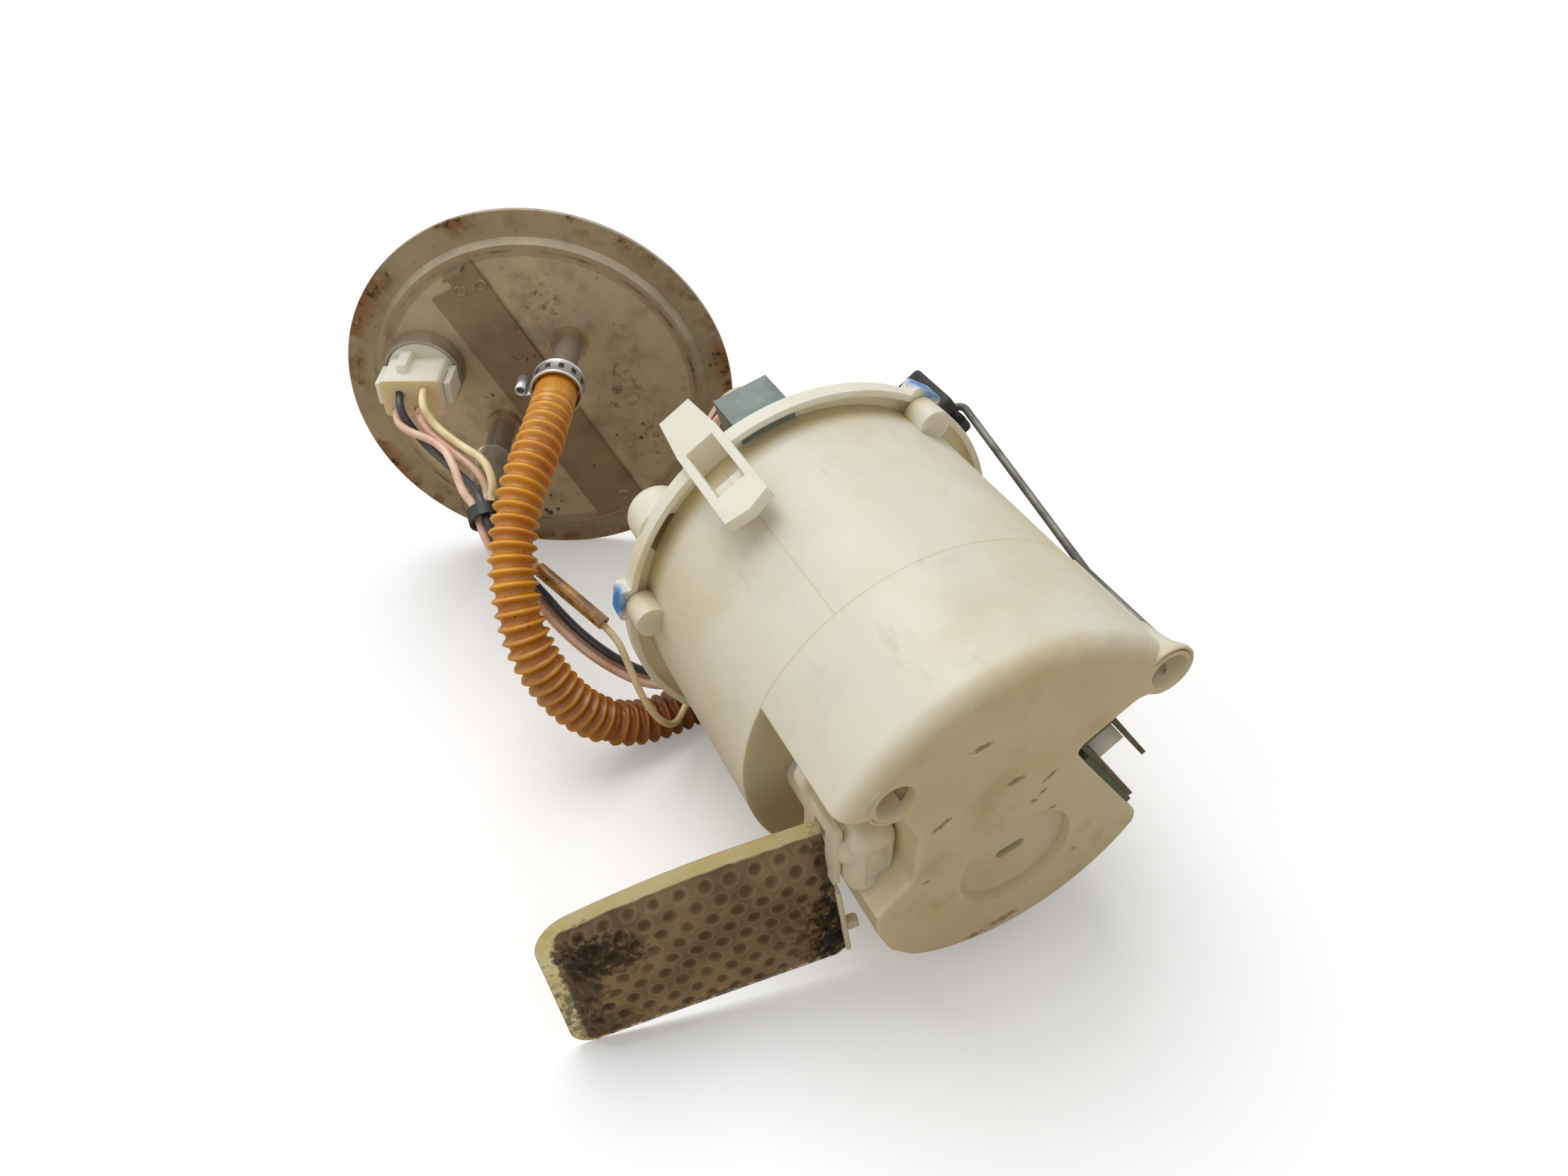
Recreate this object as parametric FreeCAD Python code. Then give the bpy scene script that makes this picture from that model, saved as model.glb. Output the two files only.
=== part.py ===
import FreeCAD, Part
import math
import os

V = FreeCAD.Vector

# In-tank fuel pump module, lying on its side as it comes out of the tank.
# The pot's axis lies along Y with its bottom face towards -Y, and the steel flange stands
# on its edge behind it. Lengths are in millimetres and angles in degrees.

# Pot
POT_R = 48.5
POT_WALL = 2.0
POT_TOP = 96.6
POT_EDGE_R = 5.0
POT_CUT_EDGE_R = 0.8
STEP_HEIGHT = 36.0
AXIS_HEIGHT = 55.0
RECESS_X = -24.5
RECESS_TOP = 20.0
RECESS_LOW = -17.0
NOTCH_TIP_X = 13.4
NOTCH_TIP_Z = 14.5
NOTCH_TOP = 24.0
NOTCH_LOW = -30.0
BULGE_X = 38.3
FOOT_TUBE_R = 3.5
FOOT_MOUTH_R = 5.5
FOOT_FLARE = 7.0
LEFT_FOOT = (-31.6, 22.7)
RIGHT_FOOT = (34.5, 29.6)
SMALL = 0.3

# Fill valve in the pot's floor
VALVE_X = 3.0
VALVE_Z = -16.3
VALVE_WELL_R = 14.9
VALVE_WELL_DEPTH = 2.5
VALVE_SLOT_L = 7.6
VALVE_SLOT_W = 3.0
VALVE_DISC_R = 10.0
VALVE_DISC_T = 1.2
VALVE_LIFT = 2.0
VALVE_CAGE_WALL = 1.6

# Lid
LID_SKIRT_R = 54.1
LID_SKIRT_T = 1.8
LID_SKIRT_LOW = 93.6
LID_T = 2.2
LID_EDGE_R = 1.4
EAR_ANGLES = (56.0, 172.0)
EAR_R = 56.6
EAR_WIDTH = 9.5
BOSS_R = 4.2
BOSS_LENGTH = 8.0
LATCH_ANGLE = 123.0
LATCH_IN = 53.4
LATCH_T = 3.4
LATCH_WIDTH = 12.6
LATCH_TIP_WIDTH = 9.6
LATCH_LOW = 68.5
LATCH_TOP = 113.0
LATCH_SHOULDER = 98.0
WINDOW_WIDTH = 8.2
WINDOW_LOW = 78.0
WINDOW_TOP = 97.0
DOME_X = -40.0
DOME_Z = 24.0
DOME_R = 8.0
DOME_HEIGHT = 13.0
LID_PLUG_ANGLE = 105.0
LID_PLUG_R = 43.6
LID_PLUG_W = 15.0
LID_PLUG_T = 8.5
LID_PLUG_H = 13.0
LID_PLUG_ROOT = 45.8
LID_PLUG_DROP = 5.0
LID_PLUG_WALL = 1.4
LID_PLUG_FLOOR = 4.0
CONTACT_W = 1.5
CONTACT_T = 0.6
CONTACT_PITCH = 3.0

# Pump
PUMP_X = -19.5
PUMP_Z = -2.0
PUMP_R = 19.0
CAN_T = 1.0
CAN_LOW = STEP_HEIGHT + POT_WALL + 7.0
CAN_TOP = 86.0
INLET_OFFSET = -12.0
INLET_R = 4.2
INLET_BORE = 2.6
OUTLET_R = 4.0
OUTLET_BORE = 1.4
SLEEVE_T = 2.0
SLEEVE_LOW = CAN_LOW + 5.0
SLEEVE_TOP = 78.0
MAGNET_T = 4.0
MAGNET_SPAN = 130.0
AIR_GAP = 0.6
SHAFT_R = 1.6
SHAFT_CLEAR = 0.06
CORE_LOW = CAN_LOW + 10.0
CORE_TOP = 72.0
CORE_SLOTS = 8
CORE_SLOT_W = 2.0
CORE_SLOT_DEPTH = 5.5
COMMUTATOR_R = 7.0
COMMUTATOR_LOW = 75.0
COMMUTATOR_TOP = 80.0
IMPELLER_R = 15.0
IMPELLER_T = 3.4
IMPELLER_BLADES = 24
BLADE_DEPTH = 2.2
BLADE_GAP = 2.0
BRUSH_SIDE = 4.0
BRUSH_LENGTH = 5.0
BRUSH_OFFSET = 4.6
SPRING_R = 1.5
SPRING_WIRE = 0.35
CHECK_R = 3.0
CHECK_BORE_R = 3.3

# Outlet pipe on the lid, and the hose that it takes
OUTLET_X = 22.0
OUTLET_PIPE_R = 5.0
OUTLET_PIPE_BORE = 3.0
OUTLET_Y = 112.5
NIPPLE_R = 4.0
NIPPLE_BEAD = 0.6
NIPPLE_LENGTH = 19.0
OUTLET_TURN_Z = 14.0
HOSE_R = 6.75
HOSE_BORE = 4.02

# Strainer
SOCK_LENGTH = 67.0
SOCK_WIDTH = 47.5
SOCK_BULGE = 9.0
SOCK_BORDER = 5.0
SOCK_SEAM_T = 1.4
SOCK_CORNER = 6.0
SOCK_X = -68.5
SOCK_Y = 21.5
SOCK_YAW = -8.7
SOCK_DROOP = -6.8
SOCK_LEAN = 7.5
NECK_X = PUMP_X + INLET_OFFSET
NECK_Z = -5.0
NECK_R = 6.3
NECK_LOW = 13.0
PLATE_T = 1.6
PLATE_WIDTH = 13.0
PLATE_LENGTH = 11.0
DUCT_OUT = 5.0
DUCT_HEIGHT = 11.0
DUCT_SIDE = 3.0

# Level sender
SENDER_ANGLE = 36.0
SENDER_SEAT = 19.4
CARD_T = 1.2
BRACKET_T = 1.2
BRACKET_LOW = 2.0
BRACKET_TOP = 30.0
BRACKET_IN = 0.5
BRACKET_OUT = -34.0
PIVOT_Y = 12.0
PIVOT_T = -16.0
HUB_R = 6.0
HUB_T = 7.0
ARM_WIRE_R = 1.1
ARM_REACH = 50.6
ARM_BEND_Y = 45.0
FLOAT_REACH = 61.5
FLOAT_AXLE_Y = 118.0
ARM_BEND_R = 4.0
FLOAT_LENGTH = 20.0
FLOAT_HEIGHT = 19.0
FLOAT_DEPTH = 16.0
FLOAT_AXLE_UP = 4.5
FLOAT_EDGE_R = 1.5
BOLT_R = 2.0
BOLT_HEAD_R = 3.6
BOLT_HEAD_T = 2.6
BOLT_DOWN = 8.0
BOLT_T = -27.0
LEVER_LENGTH = 11.0
LEVER_WIDTH = 5.0
LEVER_T = 2.0

# Flange
FLANGE_R = 61.0
FLANGE_T = 1.5
FLANGE_STEP_R = 53.0
FLANGE_STEP = 2.0
FLANGE_TURN = -25.5
FLANGE_X = -42.3
FLANGE_Y = 203.7
STRIP_LENGTH = 97.0
STRIP_WIDTH = 17.7
STRIP_T = 1.2
STRIP_ANGLE = -62.9
STRIP_X = -0.5
STRIP_Y = -0.3
SUPPLY_X = 11.1
SUPPLY_Y = 19.5
RETURN_X = -13.8
RETURN_Y = -10.4
PIPE_R = 4.0
PIPE_BORE = 3.0
PIPE_COLLAR_R = 5.6
PIPE_COLLAR_T = 2.6
SUPPLY_INSIDE = 37.0
RETURN_INSIDE = 40.0
PIPE_OUTSIDE = 28.0
PIPE_BEAD_AT = 10.5
PIPE_BEAD_R = 1.5
PIPE_END_BEAD_R = 0.9
PIPE_END_BEAD_AT = 5.0
SLEEVE_TUBE_R = 5.6
SLEEVE_TUBE_BORE = 4.55
SLEEVE_TUBE_START = 22.0
SLEEVE_TUBE_LENGTH = 24.0
CLAMP_W = 7.0
CLAMP_T = 0.8
CLAMP_START = 25.0
HOSE_START = 24.0
PLUG_X = -34.5
PLUG_Y = 12.0
FERRULE_R = 12.0
FERRULE_T = 1.0
FERRULE_HEIGHT = 6.5
SOCKET_R = 10.6
SOCKET_OUT = 14.0
SOCKET_WALL = 1.6
PLUG_W = 18.0
PLUG_D = 12.0
PLUG_START = 6.8
PLUG_LENGTH = 15.5
PIN_W = 1.6
PIN_PITCH = 3.8

# Wires
WIRE_R = 1.2
THIN_WIRE_R = 1.0
SPLICE_R = 2.0
SPLICE_BORE = 1.25
CLIP_W = 4.0
CLIP_R = 4.9
CLIP_BORE = 3.9
CLIP_ALONG = (-0.06, -0.93, -0.35)
PLUG_SOCKET_DEPTH = 3.0
CONTACT_SIDE = 1.6
CONTACT_GAP = 1.0
HOSE_PUSH = 10.5


def turned(shape, angle):
    """A shape turned about the pot's axis, by an angle seen from the pot's bottom."""
    return shape.rotated(V(0, 0, 0), V(0, 1, 0), -angle)


def disc(radius, low, high, x=0.0, z=0.0):
    """A cylinder along the pot's axis direction."""
    return Part.makeCylinder(radius, high - low, V(x, low, z), V(0, 1, 0))


def ring(outer, inner, low, high, x=0.0, z=0.0):
    return disc(outer, low, high, x, z).cut(disc(inner, low - 1, high + 1, x, z))


def block(x0, x1, y0, y1, z0, z1):
    return Part.makeBox(x1 - x0, y1 - y0, z1 - z0, V(x0, y0, z0))


def outline(points, radius):
    """A closed outline in the XZ plane with every corner rounded."""
    edges = []
    joints = []
    count = len(points)
    for i in range(count):
        before = V(points[i - 1][0], 0, points[i - 1][1])
        here = V(points[i][0], 0, points[i][1])
        after = V(points[(i + 1) % count][0], 0, points[(i + 1) % count][1])
        back = (before - here).normalize()
        ahead = (after - here).normalize()
        half = math.acos(max(-1.0, min(1.0, back.dot(ahead)))) / 2
        cut = radius / math.tan(half)
        middle = (back + ahead).normalize()
        centre = here + middle * (radius / math.sin(half))
        joints.append((here + back * cut, centre - middle * radius, here + ahead * cut))
    for i in range(count):
        start, mid, end = joints[i]
        edges.append(Part.Arc(start, mid, end).toShape())
        edges.append(Part.LineSegment(end, joints[(i + 1) % count][0]).toShape())
    return Part.Face(Part.Wire(edges))


def prism(points, radius, low, high, grow=0.0):
    face = outline(points, radius)
    if grow:
        face = face.makeOffset2D(grow)
    face.translate(V(0, low, 0))
    return face.extrude(V(0, high - low, 0))


def notch_points():
    """The notch for the level sender: a lower wall square to the sender's axis."""
    angle = math.radians(SENDER_ANGLE)
    length = (BULGE_X - NOTCH_TIP_X) / math.sin(angle)
    low_z = NOTCH_TIP_Z - length * math.cos(angle)
    far = POT_R + 12
    return [(far, NOTCH_TOP), (NOTCH_TIP_X + 14.5, NOTCH_TOP), (NOTCH_TIP_X, NOTCH_TIP_Z),
            (BULGE_X, low_z), (BULGE_X + 1.5, NOTCH_LOW), (far, NOTCH_LOW)]


def recess_points():
    """The recess for the strainer's neck, open to the left."""
    far = -POT_R - 12
    return [(far, RECESS_TOP), (RECESS_X - 7, RECESS_TOP), (RECESS_X, RECESS_TOP - 14),
            (RECESS_X, -8), (RECESS_X - 9, RECESS_LOW), (far, RECESS_LOW)]


def bulge_points():
    """The lower left side of the pot below the step, set in from the round wall for the sock."""
    far = -POT_R - 12
    return [(far, RECESS_LOW + 2), (-33.5, RECESS_LOW + 2), (-32.5, -24.0), (-28.5, -33.0), (-22.0, -40.0),
            (-11.0, -46.0), (-6.0, -POT_R - 1), (-6.0, far), (far, far)]


def foot(place):
    """A bell-mouthed foot tube that runs down the pot's side from the step."""
    x, z = place
    tube = disc(FOOT_TUBE_R, FOOT_FLARE, STEP_HEIGHT, x, z)
    flare = Part.makeCone(FOOT_MOUTH_R, FOOT_TUBE_R, FOOT_FLARE, V(x, 0, z), V(0, 1, 0))
    return tube.fuse(flare)


def foot_hollow(place):
    x, z = place
    mouth = Part.makeCone(FOOT_MOUTH_R - 0.9, FOOT_TUBE_R - 1.5, FOOT_FLARE,
                          V(x, -0.01, z), V(0, 1, 0))
    return mouth


def slot(length, width, low, high, x, z, angle):
    half = (length - width) / 2
    shape = disc(width / 2, low, high, -half).fuse(disc(width / 2, low, high, half))
    shape = shape.fuse(block(-half, half, low, high, -width / 2, width / 2))
    shape = shape.rotated(V(0, 0, 0), V(0, 1, 0), -angle)
    shape.translate(V(x, 0, z))
    return shape


def on_bottom_circle(edge):
    """Whether an edge of the pot's bottom face is a piece of its round rim."""
    flat_r = POT_R - POT_EDGE_R
    return all(abs(math.hypot(v.X, v.Z) - flat_r) < 0.01 for v in edge.Vertexes) and edge.Curve.TypeId == "Part::GeomCircle"


def reservoir_pot():
    outer = disc(POT_R, 0, POT_TOP)
    outer = outer.makeFillet(POT_EDGE_R, [e for e in outer.Edges if abs(e.CenterOfMass.y) < 0.01])
    inner = disc(POT_R - POT_WALL, POT_WALL, POT_TOP + 1)
    inner = inner.makeFillet(POT_EDGE_R - POT_WALL,
                             [e for e in inner.Edges if abs(e.CenterOfMass.y - POT_WALL) < 0.01])
    for points, corner in ((notch_points(), 3.0), (recess_points(), 3.0), (bulge_points(), 2.5)):
        outer = outer.cut(prism(points, corner, -1, STEP_HEIGHT))
        inner = inner.cut(prism(points, corner, -1, STEP_HEIGHT + POT_WALL, POT_WALL))
    outer = outer.removeSplitter()
    edges = [e for e in outer.Edges if e.BoundBox.YMax < 0.01 and not on_bottom_circle(e)]
    outer = outer.makeFillet(POT_CUT_EDGE_R, edges)
    inner = inner.cut(disc(VALVE_WELL_R + POT_WALL, 0, VALVE_WELL_DEPTH + POT_WALL, VALVE_X, VALVE_Z))
    pot = outer.cut(inner)
    pot = pot.cut(disc(VALVE_WELL_R, -1, VALVE_WELL_DEPTH, VALVE_X, VALVE_Z))
    pot = pot.cut(slot(VALVE_SLOT_L, VALVE_SLOT_W, 0, 10, VALVE_X, VALVE_Z, 16.0))
    for place in (LEFT_FOOT, RIGHT_FOOT):
        pot = pot.fuse(foot(place).cut(inner)).cut(foot_hollow(place))
    for angle in EAR_ANGLES:
        boss = disc(BOSS_R, LID_SKIRT_LOW - SMALL - BOSS_LENGTH, LID_SKIRT_LOW - SMALL, EAR_R - BOSS_R - 1.4)
        pot = pot.fuse(turned(boss, angle).cut(inner))
    lug = block(POT_R - 1, LATCH_IN + 1.4, WINDOW_LOW + 0.6, WINDOW_LOW + 5.0, -WINDOW_WIDTH / 2 + 0.5,
                WINDOW_WIDTH / 2 - 0.5)
    pot = pot.fuse(turned(lug, LATCH_ANGLE))
    eyelet = disc(5.0, 10, 14, -36.5, 15.5).cut(disc(2.2, 9, 15, -37.5, 14.5))
    arm = block(-36, RECESS_X + 1, 10, 14, 11.5, 16.5)
    pot = pot.fuse(eyelet.fuse(arm).cut(disc(2.2, 9, 15, -37.5, 14.5)).cut(inner))
    neck_hole = disc(INLET_R + SMALL, STEP_HEIGHT - 1, STEP_HEIGHT + POT_WALL + 1, NECK_X, NECK_Z)
    return pot.cut(neck_hole).removeSplitter()


def valve_cage():
    base = VALVE_WELL_DEPTH + POT_WALL
    top = base + VALVE_DISC_T + VALVE_LIFT
    cage = ring(VALVE_DISC_R + SMALL + VALVE_CAGE_WALL, VALVE_DISC_R + SMALL, base, top, VALVE_X, VALVE_Z)
    cap = ring(VALVE_DISC_R + SMALL + VALVE_CAGE_WALL, VALVE_DISC_R - 2, top, top + 1.2, VALVE_X, VALVE_Z)
    cage = cage.fuse(cap)
    for turn in (0, 60, 120):
        gap = block(-20, 20, base + 0.6, top - 0.4, -2, 2).rotated(V(0, 0, 0), V(0, 1, 0), turn)
        gap.translate(V(VALVE_X, 0, VALVE_Z))
        cage = cage.cut(gap)
    return cage


def valve_disc():
    base = VALVE_WELL_DEPTH + POT_WALL + 0.05
    return disc(VALVE_DISC_R, base, base + VALVE_DISC_T, VALVE_X, VALVE_Z)


def lid():
    top = POT_TOP + 0.02
    shape = disc(LID_SKIRT_R, top, top + LID_T)
    shape = shape.makeFillet(LID_EDGE_R, [e for e in shape.Edges if abs(e.CenterOfMass.y - top - LID_T) < 0.01])
    shape = shape.fuse(ring(LID_SKIRT_R, LID_SKIRT_R - LID_SKIRT_T, LID_SKIRT_LOW, top + LID_T - LID_EDGE_R))
    shape = shape.fuse(ring(POT_R - POT_WALL - 0.2, POT_R - POT_WALL - 2.0, POT_TOP - 4, top + 1))
    for angle in EAR_ANGLES:
        ear = block(LID_SKIRT_R - 4, EAR_R, LID_SKIRT_LOW, top + LID_T, -EAR_WIDTH / 2, EAR_WIDTH / 2)
        ear = ear.makeFillet(1.5, [e for e in ear.Edges if e.BoundBox.XMin > EAR_R - 0.1 and e.BoundBox.YLength > 1])
        ear = ear.cut(disc(LID_SKIRT_R - LID_SKIRT_T, LID_SKIRT_LOW - 1, top - 1))
        shape = shape.fuse(turned(ear, angle))
    latch_out = LATCH_IN + LATCH_T
    half = LATCH_WIDTH / 2
    tip = LATCH_TIP_WIDTH / 2
    side = [V(LATCH_IN, LATCH_LOW + 1.5, -half), V(LATCH_IN, LATCH_LOW, 0), V(LATCH_IN, LATCH_LOW + 1.5, half),
            V(LATCH_IN, LATCH_SHOULDER, half), V(LATCH_IN, LATCH_TOP, tip), V(LATCH_IN, LATCH_TOP, -tip),
            V(LATCH_IN, LATCH_SHOULDER, -half)]
    latch = Part.Face(Part.makePolygon(side + [side[0]])).extrude(V(LATCH_T, 0, 0))
    bridge = block(LID_SKIRT_R - 4, latch_out, WINDOW_TOP - 0.5, top + LID_T, -half, half)
    window = block(LATCH_IN - 5, latch_out + 1, WINDOW_LOW, WINDOW_TOP, -WINDOW_WIDTH / 2, WINDOW_WIDTH / 2)
    shape = shape.cut(turned(block(50.0, 60.0, LID_SKIRT_LOW - 1, WINDOW_TOP - 0.5, -half, half), LATCH_ANGLE))
    shape = shape.fuse(turned(latch.fuse(bridge).cut(window), LATCH_ANGLE))
    dome = disc(DOME_R, top + 1, top + DOME_HEIGHT, DOME_X, DOME_Z)
    dome = dome.makeFillet(DOME_R * 0.6, [e for e in dome.Edges if abs(e.CenterOfMass.y - top - DOME_HEIGHT) < 0.01])
    shape = shape.fuse(dome)
    shape = shape.cut(disc(DOME_R - POT_WALL, top - 1, top + DOME_HEIGHT - 5, DOME_X, DOME_Z))
    shape = shape.cut(disc(OUTLET_R + SLEEVE_T, top - 1, top + LID_T + 1, PUMP_X, PUMP_Z))
    clearance = lid_plug_body(0.0, POT_TOP - LID_PLUG_DROP - 2, POT_TOP + 0.02, POT_R)
    return shape.cut(turned(lid_plug_outside().fuse(clearance), LID_PLUG_ANGLE)).removeSplitter()


def lid_plug_body(wall, low, high, outer=LID_PLUG_R + LID_PLUG_T):
    return block(LID_PLUG_R + wall, outer - wall, low, high, -LID_PLUG_W / 2 + wall, LID_PLUG_W / 2 - wall)


def lid_plug_outside():
    """The connector's body, with a narrower part that goes through the lid into the pot."""
    top = POT_TOP + LID_T
    through = lid_plug_body(0.0, POT_TOP - LID_PLUG_DROP, POT_TOP + 1, LID_PLUG_ROOT)
    return lid_plug_body(0.0, POT_TOP + 0.02, top + LID_PLUG_H).fuse(through)


def lid_connector():
    top = POT_TOP + LID_T
    body = lid_plug_outside().cut(lid_plug_body(LID_PLUG_WALL, top + LID_PLUG_FLOOR, top + 40))
    return turned(body.cut(contact_bars()), LID_PLUG_ANGLE).removeSplitter()


def contact_bars():
    """Four flat contacts in a row, from inside the pot up into the connector's mouth."""
    top = POT_TOP + LID_T
    middle = (LID_PLUG_R + LID_PLUG_ROOT) / 2
    low = POT_TOP - LID_PLUG_DROP - 2
    bars = [block(middle - CONTACT_T / 2, middle + CONTACT_T / 2, low, top + LID_PLUG_H - 4,
                  z - CONTACT_W / 2, z + CONTACT_W / 2)
            for z in [(i - 1.5) * CONTACT_PITCH for i in range(4)]]
    return Part.makeCompound(bars)


def lid_contacts():
    return turned(contact_bars(), LID_PLUG_ANGLE)


def pump_disc(radius, low, high):
    return disc(radius, low, high, PUMP_X, PUMP_Z)


def pump_ring(outer, inner, low, high):
    return ring(outer, inner, low, high, PUMP_X, PUMP_Z)


def pump_can():
    can = pump_ring(PUMP_R, PUMP_R - CAN_T, CAN_LOW - 3, CAN_TOP + 3)
    low_lip = pump_ring(PUMP_R, PUMP_R - 2.4, CAN_LOW - 4, CAN_LOW - 3)
    top_lip = pump_ring(PUMP_R, PUMP_R - 2.4, CAN_TOP + 3, CAN_TOP + 4)
    return can.fuse(low_lip).fuse(top_lip).removeSplitter()


def inlet_cover():
    cover = pump_disc(PUMP_R - CAN_T, CAN_LOW - 3, CAN_LOW + 2)
    cover = cover.cut(pump_disc(IMPELLER_R + SMALL, CAN_LOW - 1, CAN_LOW + 3))
    nipple = disc(INLET_R, STEP_HEIGHT + POT_WALL - 4, CAN_LOW - 3, PUMP_X + INLET_OFFSET, NECK_Z)
    cover = cover.fuse(nipple)
    bore = disc(INLET_BORE, STEP_HEIGHT - 6, CAN_LOW, PUMP_X + INLET_OFFSET, NECK_Z)
    return cover.cut(bore).cut(pump_disc(SHAFT_R + SHAFT_CLEAR, CAN_LOW - 2, CAN_LOW))


def impeller():
    low = CAN_LOW - 1 + SMALL
    wheel = pump_ring(IMPELLER_R, SHAFT_R, low, low + IMPELLER_T)
    for i in range(IMPELLER_BLADES):
        pocket = block(IMPELLER_R - BLADE_DEPTH, IMPELLER_R + 1, low - 1, low + IMPELLER_T + 1,
                       -BLADE_GAP / 2, BLADE_GAP / 2)
        pocket = pocket.rotated(V(0, 0, 0), V(0, 1, 0), i * 360 / IMPELLER_BLADES)
        pocket.translate(V(PUMP_X, 0, PUMP_Z))
        wheel = wheel.cut(pocket)
    return wheel


def pump_plate():
    low = CAN_LOW - 1 + 2 * SMALL + IMPELLER_T
    plate = pump_disc(PUMP_R - CAN_T, low, low + 3)
    plate = plate.cut(pump_disc(SHAFT_R + SHAFT_CLEAR, low - 1, low + 4))
    port = disc(2.5, low - 1, low + 4, PUMP_X + INLET_OFFSET, PUMP_Z)
    return plate.cut(port)


def rotor_shaft():
    return pump_disc(SHAFT_R, CAN_LOW - 1.8, CAN_TOP + 1.5)


def armature():
    radius = PUMP_R - CAN_T - MAGNET_T - AIR_GAP
    core = pump_ring(radius, SHAFT_R, CORE_LOW, CORE_TOP)
    for i in range(CORE_SLOTS):
        cut = block(radius - CORE_SLOT_DEPTH, radius + 1, CORE_LOW - 1, CORE_TOP + 1,
                    -CORE_SLOT_W / 2, CORE_SLOT_W / 2)
        cut = cut.rotated(V(0, 0, 0), V(0, 1, 0), i * 360 / CORE_SLOTS)
        cut.translate(V(PUMP_X, 0, PUMP_Z))
        core = core.cut(cut)
    return core


def armature_windings():
    radius = PUMP_R - CAN_T - MAGNET_T - AIR_GAP - 1.6
    low = pump_ring(radius, SHAFT_R + 2, CORE_LOW - 2.6, CORE_LOW)
    high = pump_ring(radius, SHAFT_R + 2, CORE_TOP, CORE_TOP + 2.6)
    return Part.makeCompound([low, high])


def commutator():
    body = pump_ring(COMMUTATOR_R, SHAFT_R, COMMUTATOR_LOW, COMMUTATOR_TOP)
    for i in range(CORE_SLOTS):
        cut = block(SHAFT_R + 1.5, COMMUTATOR_R + 1, COMMUTATOR_TOP - 0.8, COMMUTATOR_TOP + 1, -0.3, 0.3)
        cut = cut.rotated(V(0, 0, 0), V(0, 1, 0), (i + 0.5) * 360 / CORE_SLOTS)
        cut.translate(V(PUMP_X, 0, PUMP_Z))
        body = body.cut(cut)
    return body


def sector(outer, inner, low, high, span, turn, x=0.0, z=0.0):
    """Part of a ring about an axis along Y, centred on a direction."""
    shape = Part.makeCylinder(outer, high - low, V(0, low, 0), V(0, 1, 0), span)
    shape = shape.cut(disc(inner, low - 1, high + 1))
    shape = shape.rotated(V(0, 0, 0), V(0, 1, 0), turn)
    shape.translate(V(x, 0, z))
    return shape


def magnets():
    outer = PUMP_R - CAN_T
    low = CORE_LOW - 2
    high = CORE_TOP + 2
    return Part.makeCompound([sector(outer, outer - MAGNET_T, low, high, MAGNET_SPAN, side, PUMP_X, PUMP_Z)
                              for side in (0, 180)])


def outlet_cover():
    low = COMMUTATOR_TOP + 1.2
    seat = CAN_TOP + 3
    cover = pump_disc(PUMP_R - CAN_T, low, seat).fuse(pump_disc(PUMP_R - 2.6, seat - 1, seat + 2))
    cover = cover.fuse(pump_disc(OUTLET_R, seat + 1, POT_TOP + 7))
    cover = cover.cut(pump_disc(SHAFT_R + SHAFT_CLEAR, low - 1, CAN_TOP + 1.7))
    for side in (-1, 1):
        x = PUMP_X + side * BRUSH_OFFSET
        half = BRUSH_SIDE / 2 + 0.1
        cover = cover.cut(block(x - half, x + half, low - 1, CAN_TOP + 2, PUMP_Z - half, PUMP_Z + half))
    cover = cover.cut(pump_disc(OUTLET_BORE, low - 1, POT_TOP + 8))
    return cover.cut(pump_disc(CHECK_BORE_R, CAN_TOP + 6, POT_TOP + 4))


def brushes():
    low = COMMUTATOR_TOP + 0.05
    half = BRUSH_SIDE / 2
    shapes = []
    for side in (-1, 1):
        x = PUMP_X + side * BRUSH_OFFSET
        shapes.append(block(x - half, x + half, low, low + BRUSH_LENGTH, PUMP_Z - half, PUMP_Z + half))
    return Part.makeCompound(shapes)


def coil_spring(radius, wire, low, high, turns, x, z):
    """A plain coil as a stack of rings joined by a thin inner sleeve."""
    shape = ring(radius - wire * 0.6, radius - wire * 1.4, low, high, x, z)
    for i in range(turns):
        at = low + wire + (high - low - 2 * wire) * i / (turns - 1)
        turn = Part.makeTorus(radius - wire, wire, V(x, at, z), V(0, 1, 0))
        shape = shape.fuse(turn)
    return shape


def brush_springs():
    low = COMMUTATOR_TOP + 0.05 + BRUSH_LENGTH
    return Part.makeCompound([coil_spring(SPRING_R, SPRING_WIRE, low, CAN_TOP + 2, 3, PUMP_X + side * BRUSH_OFFSET, PUMP_Z)
                              for side in (-1, 1)])


def check_poppet():
    low = CAN_TOP + 6.02
    head = pump_disc(CHECK_R, low, low + 1.2)
    return head.fuse(pump_disc(1.0, low + 1, low + 3.4))


def check_spring():
    low = CAN_TOP + 6.02 + 1.2
    return coil_spring(CHECK_R - 0.3, SPRING_WIRE, low, POT_TOP + 4, 4, PUMP_X, PUMP_Z)


def outlet_seal():
    top = POT_TOP + 0.02
    return pump_ring(OUTLET_R + SLEEVE_T, OUTLET_R, top, top + LID_T)


def isolator():
    return pump_ring(PUMP_R + SLEEVE_T, PUMP_R, SLEEVE_LOW, SLEEVE_TOP)


def pipe_between(start, end, radius):
    line = end - start
    return Part.makeCylinder(radius, line.Length, start, line)


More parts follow.
